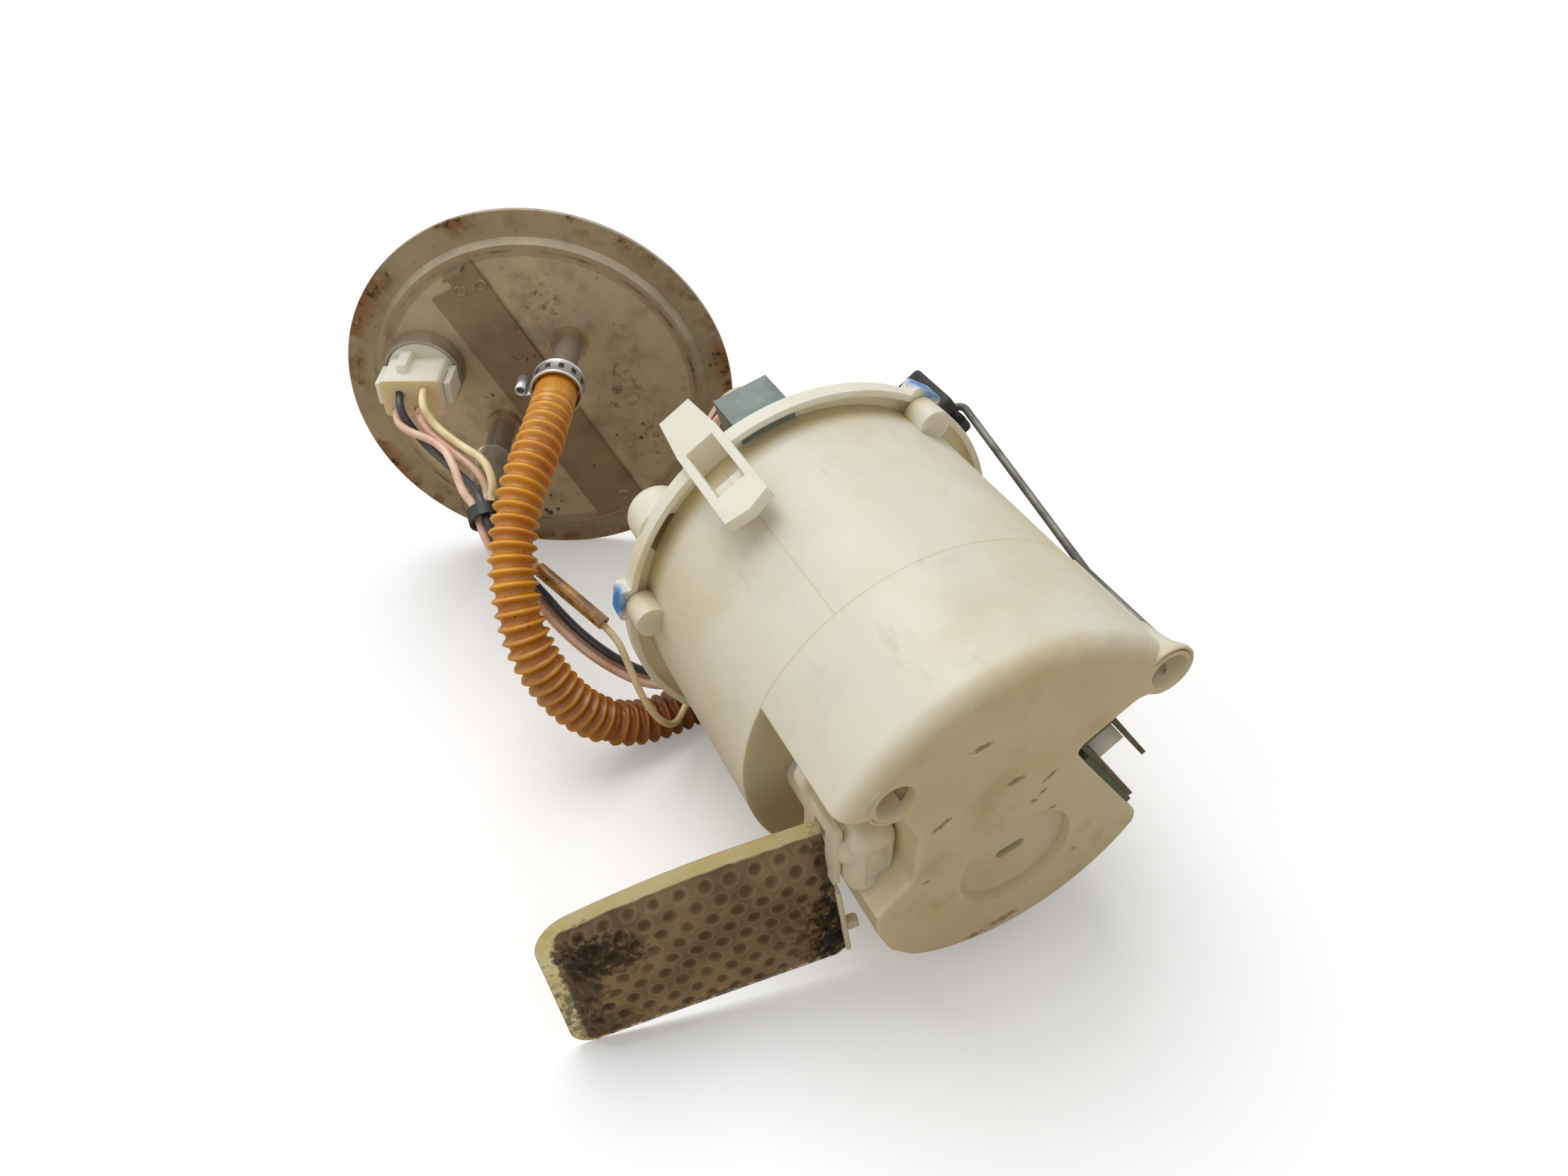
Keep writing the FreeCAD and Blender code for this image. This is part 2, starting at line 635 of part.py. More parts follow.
def outlet_pipe():
    """The moulded pipe on the lid that takes the fuel from the pump to the hose."""
    low = POT_TOP + LID_T + 0.02
    corner = V(PUMP_X, OUTLET_Y, PUMP_Z)
    across = V(OUTLET_X, OUTLET_Y, OUTLET_TURN_Z)
    end = V(OUTLET_X, OUTLET_Y, OUTLET_TURN_Z - NIPPLE_LENGTH)
    shape = pipe_between(V(PUMP_X, low, PUMP_Z), corner, OUTLET_R + SLEEVE_T)
    shape = shape.fuse(Part.makeSphere(OUTLET_R + SLEEVE_T, corner))
    shape = shape.fuse(pipe_between(corner, across, OUTLET_PIPE_R))
    shape = shape.fuse(Part.makeSphere(OUTLET_PIPE_R, across))
    shape = shape.fuse(pipe_between(across, end, NIPPLE_R))
    for step in (3.0, 8.0):
        bead = Part.makeCone(NIPPLE_R, NIPPLE_R + NIPPLE_BEAD, 2.0, end + V(0, 0, step), V(0, 0, 1))
        shape = shape.fuse(bead)
    hollow = pump_disc(OUTLET_R + 0.02, low - 1, POT_TOP + 7.02)
    hollow = hollow.fuse(pipe_between(V(PUMP_X, low, PUMP_Z), corner, OUTLET_PIPE_BORE))
    hollow = hollow.fuse(Part.makeSphere(OUTLET_PIPE_BORE, corner))
    hollow = hollow.fuse(pipe_between(corner, across, OUTLET_PIPE_BORE))
    hollow = hollow.fuse(pipe_between(across, end - V(0, 0, 1), OUTLET_PIPE_BORE))
    return shape.cut(hollow).removeSplitter()


def on_sender(shape):
    """From the sender's own axes to the pot's: X out along the pivot, Z across, Y along the pot."""
    return turned(shape, SENDER_ANGLE)


def rod_x(radius, low, high, y, z):
    return Part.makeCylinder(radius, high - low, V(low, y, z), V(1, 0, 0))


def sender_levels():
    card = SENDER_SEAT + 0.02
    plate = card + CARD_T
    hub = plate + BRACKET_T + SMALL
    ear = hub + HUB_T + SMALL
    return card, plate, hub, ear


def resistor_card():
    card, plate, hub, ear = sender_levels()
    shape = block(card, plate, BRACKET_LOW - 1.5, BRACKET_TOP - 4, BRACKET_OUT + 1.5, BRACKET_IN - 3)
    shape = shape.cut(rod_x(ARM_WIRE_R + SMALL, card - 1, plate + 1, PIVOT_Y, PIVOT_T))
    return on_sender(shape.cut(rod_x(BOLT_R, card - 1, plate + 1, BRACKET_TOP - BOLT_DOWN, BOLT_T)))


def sender_bracket():
    card, plate, hub, ear = sender_levels()
    outer = ear + BRACKET_T
    shape = block(plate, plate + BRACKET_T, BRACKET_LOW, BRACKET_TOP, BRACKET_OUT, BRACKET_IN)
    shape = shape.fuse(block(plate, outer, BRACKET_LOW, BRACKET_LOW + 16, BRACKET_IN - BRACKET_T, BRACKET_IN))
    shape = shape.fuse(block(ear, outer, BRACKET_LOW, BRACKET_LOW + 16, PIVOT_T - 6, BRACKET_IN))
    bore = rod_x(ARM_WIRE_R + SHAFT_CLEAR, plate - 1, outer + 1, PIVOT_Y, PIVOT_T)
    shape = shape.cut(bore)
    return on_sender(shape.cut(rod_x(BOLT_R, plate - 1, plate + 3, BRACKET_TOP - BOLT_DOWN, BOLT_T))).removeSplitter()


def sender_bolt():
    card, plate, hub, ear = sender_levels()
    under = plate + BRACKET_T + 0.01
    hexagon = [V(under, BRACKET_TOP - BOLT_DOWN + BOLT_HEAD_R * math.cos(math.radians(60 * i)),
                 BOLT_T + BOLT_HEAD_R * math.sin(math.radians(60 * i))) for i in range(7)]
    head = Part.Face(Part.makePolygon(hexagon)).extrude(V(BOLT_HEAD_T, 0, 0))
    return on_sender(head.fuse(rod_x(BOLT_R - 0.02, SENDER_SEAT + 0.03, under + 0.5, BRACKET_TOP - BOLT_DOWN, BOLT_T)))


def arm_hub():
    card, plate, hub, ear = sender_levels()
    shape = rod_x(HUB_R, hub, hub + HUB_T, PIVOT_Y, PIVOT_T)
    lever = block(hub, hub + LEVER_T, PIVOT_Y, PIVOT_Y + LEVER_LENGTH, PIVOT_T - LEVER_WIDTH / 2,
                  PIVOT_T + LEVER_WIDTH / 2)
    shape = shape.fuse(lever).cut(rod_x(ARM_WIRE_R, hub - 1, hub + HUB_T + 1, PIVOT_Y, PIVOT_T))
    return on_sender(shape)


def bent_wire(points, radius, bend):
    """A wire that runs straight between its points, with a round bend at each inner one."""
    edges = []
    start = points[0]
    for i in range(1, len(points) - 1):
        back = (points[i - 1] - points[i]).normalize()
        ahead = (points[i + 1] - points[i]).normalize()
        half = math.acos(max(-1.0, min(1.0, back.dot(ahead)))) / 2
        cut = bend / math.tan(half)
        middle = (back + ahead).normalize()
        centre = points[i] + middle * (bend / math.sin(half))
        enter = points[i] + back * cut
        leave = points[i] + ahead * cut
        edges.append(Part.LineSegment(start, enter).toShape())
        edges.append(Part.Arc(enter, centre - middle * bend, leave).toShape())
        start = leave
    edges.append(Part.LineSegment(start, points[-1]).toShape())
    path = Part.Wire(edges)
    circle = Part.Wire(Part.makeCircle(radius, points[0], points[1] - points[0]))
    return path.makePipeShell([circle], True, False)


def float_arm():
    card, plate, hub, ear = sender_levels()
    points = [V(plate + 0.05, PIVOT_Y, PIVOT_T), V(ARM_REACH, PIVOT_Y, PIVOT_T), V(ARM_REACH, ARM_BEND_Y, PIVOT_T),
              V(FLOAT_REACH, FLOAT_AXLE_Y, PIVOT_T), V(FLOAT_REACH - FLOAT_LENGTH - 2.5, FLOAT_AXLE_Y, PIVOT_T)]
    return on_sender(bent_wire(points, ARM_WIRE_R, ARM_BEND_R))


def float_block():
    high = FLOAT_REACH - ARM_BEND_R + 2.0
    low = high - FLOAT_LENGTH
    y0 = FLOAT_AXLE_Y - FLOAT_AXLE_UP
    shape = block(low, high, y0, y0 + FLOAT_HEIGHT, PIVOT_T - FLOAT_DEPTH / 2, PIVOT_T + FLOAT_DEPTH / 2)
    shape = shape.makeFillet(FLOAT_EDGE_R, shape.Edges)
    shape = shape.cut(rod_x(ARM_WIRE_R + SHAFT_CLEAR, low - 1, high + 1, FLOAT_AXLE_Y, PIVOT_T))
    relief = block(high - 4.5, high + 1, y0 - 1, FLOAT_AXLE_Y + ARM_WIRE_R + SMALL,
                   PIVOT_T - ARM_WIRE_R - 2.0, PIVOT_T + ARM_WIRE_R + 2.0)
    return on_sender(shape.cut(relief))


def sock_placed(shape):
    shape = shape.rotated(V(0, 0, 0), V(1, 0, 0), -SOCK_LEAN)
    shape = shape.rotated(V(0, 0, 0), V(0, 1, 0), SOCK_DROOP)
    return shape.rotated(V(0, 0, 0), V(0, 0, 1), SOCK_YAW)


def sock_blank():
    half_l = SOCK_LENGTH / 2
    half_w = SOCK_WIDTH / 2
    corners = [(-half_l, half_w), (half_l, half_w), (half_l, -half_w), (-half_l, -half_w)]
    seam = prism(corners, SOCK_CORNER, -SOCK_SEAM_T / 2, SOCK_SEAM_T / 2)
    pad_l = half_l - SOCK_BORDER
    pad_w = half_w - SOCK_BORDER
    pad = block(-pad_l, half_l - 1.5, -SOCK_BULGE / 2, SOCK_BULGE / 2, -pad_w, pad_w)
    pad = pad.makeFillet(SOCK_BULGE / 2 - 0.3, pad.Edges)
    return seam.fuse(pad)


def sock_offset():
    """The sock's lowest corner rests on the surface that the module lies on."""
    low = sock_placed(sock_blank()).optimalBoundingBox(False, False).ZMin
    return V(SOCK_X, SOCK_Y, -AXIS_HEIGHT - low)


def strainer_neck():
    tube = disc(NECK_R, NECK_LOW, STEP_HEIGHT - 0.1, NECK_X, NECK_Z)
    nose = Part.makeSphere(NECK_R, V(NECK_X, NECK_LOW, NECK_Z))
    duct = block(NECK_X - DUCT_OUT, NECK_X, NECK_LOW, NECK_LOW + DUCT_HEIGHT, NECK_Z - NECK_R - DUCT_SIDE,
                 NECK_Z + NECK_R)
    plate = block(NECK_X - DUCT_OUT - PLATE_T, NECK_X - DUCT_OUT, NECK_LOW - PLATE_T, NECK_LOW + PLATE_WIDTH,
                  NECK_Z - PLATE_LENGTH, NECK_Z + NECK_R + 1)
    shape = tube.fuse(nose).fuse(duct).fuse(plate)
    shape = shape.cut(disc(INLET_R + 0.05, STEP_HEIGHT - 7, STEP_HEIGHT + 1, NECK_X, NECK_Z))
    shape = shape.cut(disc(INLET_R - 1, NECK_LOW + 3, STEP_HEIGHT + 1, NECK_X, NECK_Z))
    shape = shape.cut(block(NECK_X - 8, NECK_X, NECK_LOW + 3, NECK_LOW + 8, NECK_Z - 4, NECK_Z + 3))
    return shape.removeSplitter()


def strainer_sock():
    sock = sock_placed(sock_blank())
    sock.translate(sock_offset())
    return sock.cut(strainer_neck())


def on_flange(shape):
    """From the flange's own axes to the module's: X right, Y up, Z out of the underside."""
    place = FreeCAD.Matrix()
    turn = math.radians(FLANGE_TURN)
    across = V(math.cos(turn), math.sin(turn), 0)
    out = V(math.sin(turn), -math.cos(turn), 0)
    up = V(0, 0, 1)
    for row, (a, u, o, t) in enumerate(zip(across, up, out, (FLANGE_X, FLANGE_Y, FLANGE_R - AXIS_HEIGHT))):
        for column, value in enumerate((a, u, o, t)):
            place.A = place.A[:4 * row + column] + (value,) + place.A[4 * row + column + 1:]
    return shape.transformShape(place, True)


def post(radius, low, high, x, y):
    return Part.makeCylinder(radius, high - low, V(x, y, low), V(0, 0, 1))


def flange_plate():
    slope = 1.6
    profile = [V(0, 0, FLANGE_STEP), V(FLANGE_STEP_R - slope, 0, FLANGE_STEP), V(FLANGE_STEP_R, 0, 0),
               V(FLANGE_R, 0, 0), V(FLANGE_R, 0, -FLANGE_T), V(FLANGE_STEP_R - 0.6, 0, -FLANGE_T),
               V(FLANGE_STEP_R - slope - 0.6, 0, FLANGE_STEP - FLANGE_T), V(0, 0, FLANGE_STEP - FLANGE_T)]
    plate = Part.Face(Part.makePolygon(profile + [profile[0]])).revolve(V(0, 0, 0), V(0, 0, 1), 360)
    for x, y in ((SUPPLY_X, SUPPLY_Y), (RETURN_X, RETURN_Y)):
        plate = plate.cut(post(PIPE_R, -9, 9, x, y))
    plate = plate.cut(post(SOCKET_R, -9, 9, PLUG_X, PLUG_Y))
    return on_flange(plate)


def reinforcement_strip():
    base = FLANGE_STEP + 0.01
    half_l = STRIP_LENGTH / 2
    half_w = STRIP_WIDTH / 2
    strip = Part.makeBox(STRIP_LENGTH, STRIP_WIDTH, STRIP_T, V(-half_l, -half_w, base))
    notch = Part.makeBox(6, 9, 3, V(-half_l - 1, -half_w - 1, base - 1))
    tab = Part.makeBox(STRIP_T, 6.5, 5, V(-half_l, -half_w + 8.5, base))
    strip = strip.cut(notch).fuse(tab).removeSplitter()
    strip = strip.rotated(V(0, 0, 0), V(0, 0, 1), STRIP_ANGLE)
    strip.translate(V(STRIP_X, STRIP_Y, 0))
    return on_flange(strip)


def steel_pipe(x, y, inside):
    pipe = post(PIPE_R, -PIPE_OUTSIDE, inside, x, y)
    pipe = pipe.fuse(post(PIPE_COLLAR_R, FLANGE_STEP, FLANGE_STEP + PIPE_COLLAR_T, x, y))
    for at, bead in ((-PIPE_BEAD_AT, PIPE_BEAD_R), (inside - PIPE_END_BEAD_AT, PIPE_END_BEAD_R)):
        pipe = pipe.fuse(Part.makeTorus(PIPE_R - 0.4, bead, V(x, y, at), V(0, 0, 1)))
    return on_flange(pipe.cut(post(PIPE_BORE, -PIPE_OUTSIDE - 1, inside + 1, x, y)))


def return_sleeve():
    low = SLEEVE_TUBE_START
    sleeve = post(SLEEVE_TUBE_R, low, low + SLEEVE_TUBE_LENGTH, RETURN_X, RETURN_Y)
    return on_flange(sleeve.cut(post(SLEEVE_TUBE_BORE, low - 1, low + SLEEVE_TUBE_LENGTH + 1, RETURN_X, RETURN_Y)))


def hose_clamp():
    outer = HOSE_R + 0.05 + CLAMP_T
    band = post(outer, CLAMP_START, CLAMP_START + CLAMP_W, SUPPLY_X, SUPPLY_Y)
    ear = Part.makeBox(5.5, 3.2, CLAMP_W, V(-outer - 4.5, -1.6, CLAMP_START))
    ear.translate(V(SUPPLY_X, SUPPLY_Y, 0))
    band = band.fuse(ear)
    return on_flange(band.cut(post(HOSE_R + 0.05, CLAMP_START - 1, CLAMP_START + CLAMP_W + 1, SUPPLY_X, SUPPLY_Y)))


def connector_ferrule():
    low = FLANGE_STEP + 0.01
    ring_shape = post(FERRULE_R, low, low + FERRULE_HEIGHT, PLUG_X, PLUG_Y)
    return on_flange(ring_shape.cut(post(FERRULE_R - FERRULE_T, low - 1, low + FERRULE_HEIGHT + 1, PLUG_X, PLUG_Y)))


def connector_socket():
    body = post(SOCKET_R - 0.05, -SOCKET_OUT, FLANGE_STEP + 4, PLUG_X, PLUG_Y)
    body = body.fuse(post(SOCKET_R + 1.6, -FLANGE_T - 1.5, FLANGE_STEP - FLANGE_T - 0.02, PLUG_X, PLUG_Y))
    mouth = post(SOCKET_R - SOCKET_WALL, -SOCKET_OUT - 1, -3.0, PLUG_X, PLUG_Y)
    return on_flange(body.cut(mouth)).cut(connector_pins())


def connector_pins():
    pins = []
    for i in range(2):
        for j in range(2):
            x = PLUG_X + (i - 0.5) * PIN_PITCH
            y = PLUG_Y + (j - 0.5) * PIN_PITCH
            pins.append(on_flange(Part.makeBox(PIN_W, 0.8, 11, V(x - PIN_W / 2, y - 0.4, -SOCKET_OUT + 3))))
    return Part.makeCompound(pins)


def harness_plug():
    low = PLUG_START
    body = Part.makeBox(PLUG_W, PLUG_D, PLUG_LENGTH, V(-PLUG_W / 2, -PLUG_D / 2, low))
    body = body.makeFillet(1.5, [e for e in body.Edges if abs(e.BoundBox.ZLength - PLUG_LENGTH) < 0.1])
    for side in (-1, 1):
        wing = Part.makeBox(2.0, 7.0, PLUG_LENGTH - 5, V(side * (PLUG_W / 2 + 1.2) - 1.0, -3.5, low + 2))
        root = Part.makeBox(3.0, 7.0, 3.0, V(side * (PLUG_W / 2 + 0.2) - 1.5, -3.5, low + 2))
        body = body.fuse(wing).fuse(root)
    rib = Part.makeBox(3.0, 3.0, PLUG_LENGTH - 5, V(-4.5, PLUG_D / 2 - 0.5, low))
    body = body.fuse(rib)
    base = post(FERRULE_R - FERRULE_T - 0.3, FLANGE_STEP + 4.02, low + 1.5, 0, 0)
    body = body.fuse(base)
    for route in (BLACK_ROUTE, PEACH_ROUTE, PEACH_BACK_ROUTE, CREAM_ROUTE):
        x, y = route[0]
        body = body.cut(post(WIRE_R + 0.05, low + PLUG_LENGTH - PLUG_SOCKET_DEPTH, low + PLUG_LENGTH + 1, x, y))
    body.translate(V(PLUG_X, PLUG_Y, 0))
    return on_flange(body.removeSplitter())


# Routes of the hose and wires, in the pot's axes
HOSE_ROUTE = [(-52.5, 156.5, 25.5), (-73.0, 133.5, 12.0), (-79.0, 113.0, -8.5), (-72.5, 104.5, -29.0),
              (-60.5, 101.8, -43.0), (-43.0, 102.5, -48.2), (-3.8, 110.5, -48.2), (22.0, 112.5, -22.2)]

# Wires from the plug to the lid's connector. The first pair of numbers is the wire's place in the plug.
CLIP = (-75.7, 152.6, 2.7)
PEACH_ROUTE = [(-5.5, -4.0), (-80.2, 179.0, 13.1), (-79.0, 170.0, 10.6), (-79.5, 160.7, 6.9), (-77.5, 157.3, 4.5),
               (-78.1, 147.9, 0.9), (-76.6, 142.9, -6.0), (-71.9, 129.6, -9.6), (-66.7, 117.7, -17.0),
               (-58.9, 109.3, -25.4), (-49.2, 104.6, -33.7), (-39.0, 103.3, -37.6), (-29.5, 103.8, -35.0),
               (-23.5, 106.3, -27.0), (-24.5, 109.8, -14.0), (-28.8, 112.8, -1.0), (-28.5, 114.8, 12.0),
               (-23.5, 116.3, 24.5)]
BLACK_ROUTE = [(-3.5, 1.5), (-83.9, 189.2, 8.0), (-80.0, 178.7, 6.1), (-75.8, 164.2, 5.5), (-75.4, 156.5, 6.4),
               (-76.0, 147.2, 2.9), (-74.4, 143.5, -4.8), (-69.1, 129.9, -8.0), (-64.0, 118.1, -15.3),
               (-56.6, 110.1, -23.4), (-47.0, 105.7, -31.4), (-37.5, 105.9, -35.5), (-29.5, 106.4, -35.0),
               (-23.5, 108.9, -27.0), (-24.5, 112.4, -14.0), (-28.8, 115.4, -1.0), (-28.5, 117.4, 12.0),
               (-23.5, 118.9, 24.5)]
PEACH_BACK_ROUTE = [(1.0, -4.0), (-77.5, 176.6, 10.5), (-72.9, 167.7, 8.3), (-72.1, 161.6, 3.2),
                    (-75.4, 158.0, 2.5), (-76.0, 148.7, -1.0), (-74.9, 145.3, -7.0), (-70.1, 131.9, -10.7),
                    (-65.0, 119.9, -18.1), (-57.3, 111.7, -26.4), (-47.5, 107.1, -34.6), (-37.5, 108.8, -35.5),
                    (-29.5, 109.3, -35.0), (-23.5, 111.8, -27.0), (-24.5, 115.3, -14.0), (-28.8, 118.3, -1.0),
                    (-28.5, 120.3, 12.0), (-23.5, 121.8, 24.5)]
CREAM_ROUTE = [(4.0, 3.0), (-80.0, 185.4, 15.2), (-75.0, 174.8, 12.9), (-70.4, 165.9, 12.2), (-70.6, 158.8, 7.9),
               (-72.9, 157.3, 4.5), (-73.5, 147.9, 0.9), (-71.1, 138.2, 1.0)]
SPLICE_FROM = (-67.6, 130.3, -3.0)
SPLICE_TO = (-56.7, 109.7, -11.0)
THIN_ROUTE = [(-53.7, 102.0, -20.4), (-52.4, 95.4, -29.5), (-49.4, 91.6, -36.4), (-44.3, 93.3, -42.3),
              (-37.6, 100.0, -40.8), (-31.5, 107.0, -39.7), (-23.5, 112.5, -36.0), (-20.5, 116.0, -24.0),
              (-23.0, 118.5, -11.0), (-28.8, 120.8, -1.0), (-28.5, 122.8, 12.0), (-23.5, 124.3, 24.5)]
# How far behind the lid each wire turns to its contact, and how far it runs straight out of the plug
CONTACT_Y = {"wire_thin": 124.6, "wire_peach_back": 122.0, "wire_black": 119.2, "wire_peach": 116.5}
PLUG_LEAD = {"wire_peach": 11.0, "wire_black": 9.0, "wire_peach_back": 8.0, "wire_cream": 9.0}


def tube(points, radius, bore, name):
    """A tube along straight runs joined by arcs as large as the runs allow."""
    edges = []
    start = points[0]
    radii = []
    for i in range(1, len(points) - 1):
        back = points[i - 1] - points[i]
        ahead = points[i + 1] - points[i]
        cut = 0.45 * min(back.Length, ahead.Length)
        back.normalize()
        ahead.normalize()
        half = math.acos(max(-1.0, min(1.0, back.dot(ahead)))) / 2
        bend = cut * math.tan(half)
        radii.append(round(bend, 1))
        middle = (back + ahead).normalize()
        centre = points[i] + middle * (bend / math.sin(half))
        enter = points[i] + back * cut
        leave = points[i] + ahead * cut
        edges.append(Part.LineSegment(start, enter).toShape())
        edges.append(Part.Arc(enter, centre - middle * bend, leave).toShape())
        start = leave
    edges.append(Part.LineSegment(start, points[-1]).toShape())
    path = Part.Wire(edges)
    profiles = [Part.Wire(Part.makeCircle(r, points[0], points[1] - points[0])) for r in (radius, bore) if r]
    solids = [path.makePipeShell([profile], True, False) for profile in profiles]
    shape = solids[0].cut(solids[1]) if bore else solids[0]
    section = math.pi * (radius ** 2 - (bore or 0) ** 2)
    print(name, "length", round(path.Length, 1), "radii", radii, "volume ratio",
          round(shape.Volume / (section * path.Length), 3))
    return shape


def flange_point(x, y, z):
    return on_flange(Part.Vertex(x, y, z)).Point


def fuel_hose():
    start = flange_point(SUPPLY_X, SUPPLY_Y, HOSE_START)
    end = V(OUTLET_X, OUTLET_Y, OUTLET_TURN_Z - NIPPLE_LENGTH + HOSE_PUSH)
    points = [start] + [V(*p) for p in HOSE_ROUTE] + [end]
    return tube(points, HOSE_R, HOSE_BORE, "fuel_hose")


def contact_point(row, y):
    """A place above one of the lid's four contacts."""
    middle = LID_PLUG_R + LID_PLUG_WALL + WIRE_R + CONTACT_SIDE
    place = turned(Part.Vertex(middle, y, (row - 1.5) * CONTACT_PITCH), LID_PLUG_ANGLE)
    return place.Point


def from_plug(route, name):
    """The first two points of a wire, from inside the plug straight out of its face."""
    x, y = route[0]
    low = PLUG_START + PLUG_LENGTH - PLUG_SOCKET_DEPTH
    return [flange_point(PLUG_X + x, PLUG_Y + y, low), flange_point(PLUG_X + x, PLUG_Y + y, low + PLUG_LEAD[name])]


def to_contact(row, name):
    end = POT_TOP + LID_T + LID_PLUG_FLOOR + CONTACT_GAP
    return [contact_point(row, CONTACT_Y[name]), contact_point(row, end)]


def long_wire(route, row, name):
    """A wire from the plug on the flange to one contact of the lid."""
    points = from_plug(route, name) + [V(*p) for p in route[1:]] + to_contact(row, name)
    return tube(points, WIRE_R, 0, name)


def wire_black():
    return long_wire(BLACK_ROUTE, 2, "wire_black")


def wire_peach():
    return long_wire(PEACH_ROUTE, 3, "wire_peach")


def wire_peach_back():
    return long_wire(PEACH_BACK_ROUTE, 1, "wire_peach_back")


def splice_line():
    """The ends of the splice sleeve, its middle and the direction from the plug's side."""
    start = V(*SPLICE_FROM)
    end = V(*SPLICE_TO)
    along = (end - start).normalize()
    return start, end, (start + end) * 0.5, along


def wire_cream():
    start, end, middle, along = splice_line()
    points = from_plug(CREAM_ROUTE, "wire_cream") + [V(*p) for p in CREAM_ROUTE[1:]]
    return tube(points + [start - along * 5.0, middle], WIRE_R, 0, "wire_cream")


def wire_thin():
    start, end, middle, along = splice_line()
    points = [middle, end + along * 4.0] + [V(*p) for p in THIN_ROUTE] + to_contact(0, "wire_thin")
    return tube(points, THIN_WIRE_R, 0, "wire_thin")


def splice_sleeve():
    start, end, middle, along = splice_line()
    return pipe_between(start, end, SPLICE_R).cut(pipe_between(start - along, end + along, SPLICE_BORE))


def cable_clip():
    """A black band round the four wires, with its tail."""
    centre = V(*CLIP)
    along = V(*CLIP_ALONG).normalize()
    start = centre - along * (CLIP_W / 2)
    band = pipe_between(start, start + along * CLIP_W, CLIP_R)
    return band.cut(pipe_between(start - along, start + along * (CLIP_W + 1), CLIP_BORE))


NODES = {
    "reservoir_pot": reservoir_pot, "fill_valve_cage": valve_cage, "fill_valve_disc": valve_disc,
    "lid": lid, "lid_connector": lid_connector, "lid_contacts": lid_contacts,
    "pump_can": pump_can, "pump_inlet_cover": inlet_cover, "impeller": impeller, "pump_port_plate": pump_plate,
    "rotor_shaft": rotor_shaft, "armature_core": armature, "armature_windings": armature_windings,
    "commutator": commutator, "magnets": magnets, "pump_outlet_cover": outlet_cover, "brushes": brushes,
    "brush_springs": brush_springs, "check_valve_poppet": check_poppet, "check_valve_spring": check_spring,
    "rubber_isolator": isolator, "outlet_seal": outlet_seal, "outlet_pipe": outlet_pipe, "resistor_card": resistor_card,
    "sender_bracket": sender_bracket, "sender_bolt": sender_bolt, "arm_hub": arm_hub, "float_arm": float_arm,
    "float": float_block, "strainer_neck": strainer_neck, "strainer_sock": strainer_sock,
    "flange_plate": flange_plate, "reinforcement_strip": reinforcement_strip,
    "supply_pipe": lambda: steel_pipe(SUPPLY_X, SUPPLY_Y, SUPPLY_INSIDE),
    "return_pipe": lambda: steel_pipe(RETURN_X, RETURN_Y, RETURN_INSIDE),
    "return_sleeve": return_sleeve, "hose_clamp": hose_clamp, "connector_ferrule": connector_ferrule,
    "connector_socket": connector_socket, "connector_pins": connector_pins, "harness_plug": harness_plug,
    "fuel_hose": fuel_hose, "wire_black": wire_black, "wire_peach": wire_peach,
    "wire_peach_back": wire_peach_back, "wire_cream": wire_cream, "wire_thin": wire_thin,
    "splice_sleeve": splice_sleeve, "cable_clip": cable_clip,
}


# Nodes that hang free between the pot and the flange. The origin is measured without them.
CORDS = ("fuel_hose", "wire_black", "wire_peach", "wire_peach_back", "wire_cream", "wire_thin", "splice_sleeve",
         "cable_clip")


def main():
    """Build every node and move the origin to the middle of the underside of the bounding box."""
    os.makedirs("parts", exist_ok=True)
    shapes = {name: make() for name, make in NODES.items()}
    bounds = FreeCAD.BoundBox()
    for name, shape in shapes.items():
        if name not in CORDS:
            bounds.add(shape.optimalBoundingBox(False, False))
    shift = V(-bounds.Center.x, -bounds.Center.y, -bounds.ZMin)
    print("shift", [round(v, 3) for v in shift])
    for name, shape in shapes.items():
        shape.translate(shift)
        box = shape.optimalBoundingBox(False, False)
        print(name, len(shape.Solids), "solids", "valid" if shape.isValid() else "INVALID",
              [round(v, 1) for v in (box.XMin, box.YMin, box.ZMin, box.XMax, box.YMax, box.ZMax)])
        shape.exportStep("parts/" + name + ".step")


main()
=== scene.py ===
import bpy
import bmesh
import math
from mathutils import Matrix, Vector


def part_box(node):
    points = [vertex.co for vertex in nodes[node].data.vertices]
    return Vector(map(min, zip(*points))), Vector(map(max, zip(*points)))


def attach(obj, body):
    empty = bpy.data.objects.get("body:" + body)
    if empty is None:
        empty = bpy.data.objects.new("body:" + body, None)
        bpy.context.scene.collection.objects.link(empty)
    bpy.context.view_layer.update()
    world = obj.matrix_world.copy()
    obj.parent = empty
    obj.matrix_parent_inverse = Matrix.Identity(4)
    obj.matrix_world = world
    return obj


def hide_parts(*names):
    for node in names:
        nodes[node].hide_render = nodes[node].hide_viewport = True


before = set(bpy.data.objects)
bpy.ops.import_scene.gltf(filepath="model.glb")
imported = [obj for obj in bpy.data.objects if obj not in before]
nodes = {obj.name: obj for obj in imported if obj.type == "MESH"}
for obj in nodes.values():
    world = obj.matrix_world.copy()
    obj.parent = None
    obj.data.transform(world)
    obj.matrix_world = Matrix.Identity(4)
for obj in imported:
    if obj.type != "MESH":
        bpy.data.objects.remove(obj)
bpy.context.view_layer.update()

# Camera
# It stands to the left of the pot and above it, and looks down at 41 degrees, as the photograph does.
# The pot's axis runs along Y and its bottom faces -Y. Places on the pot are given from that axis.
CAN_OFF_AXIS = Vector((0.0195, 0.0, 0.002))
CAN_ABOVE_BOTTOM = 0.041
CAMERA_LOOKS_DOWN = 41.3
CAMERA_TURNED = 26.2
can_low, can_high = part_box("pump_can")
can_middle = (can_low + can_high) / 2
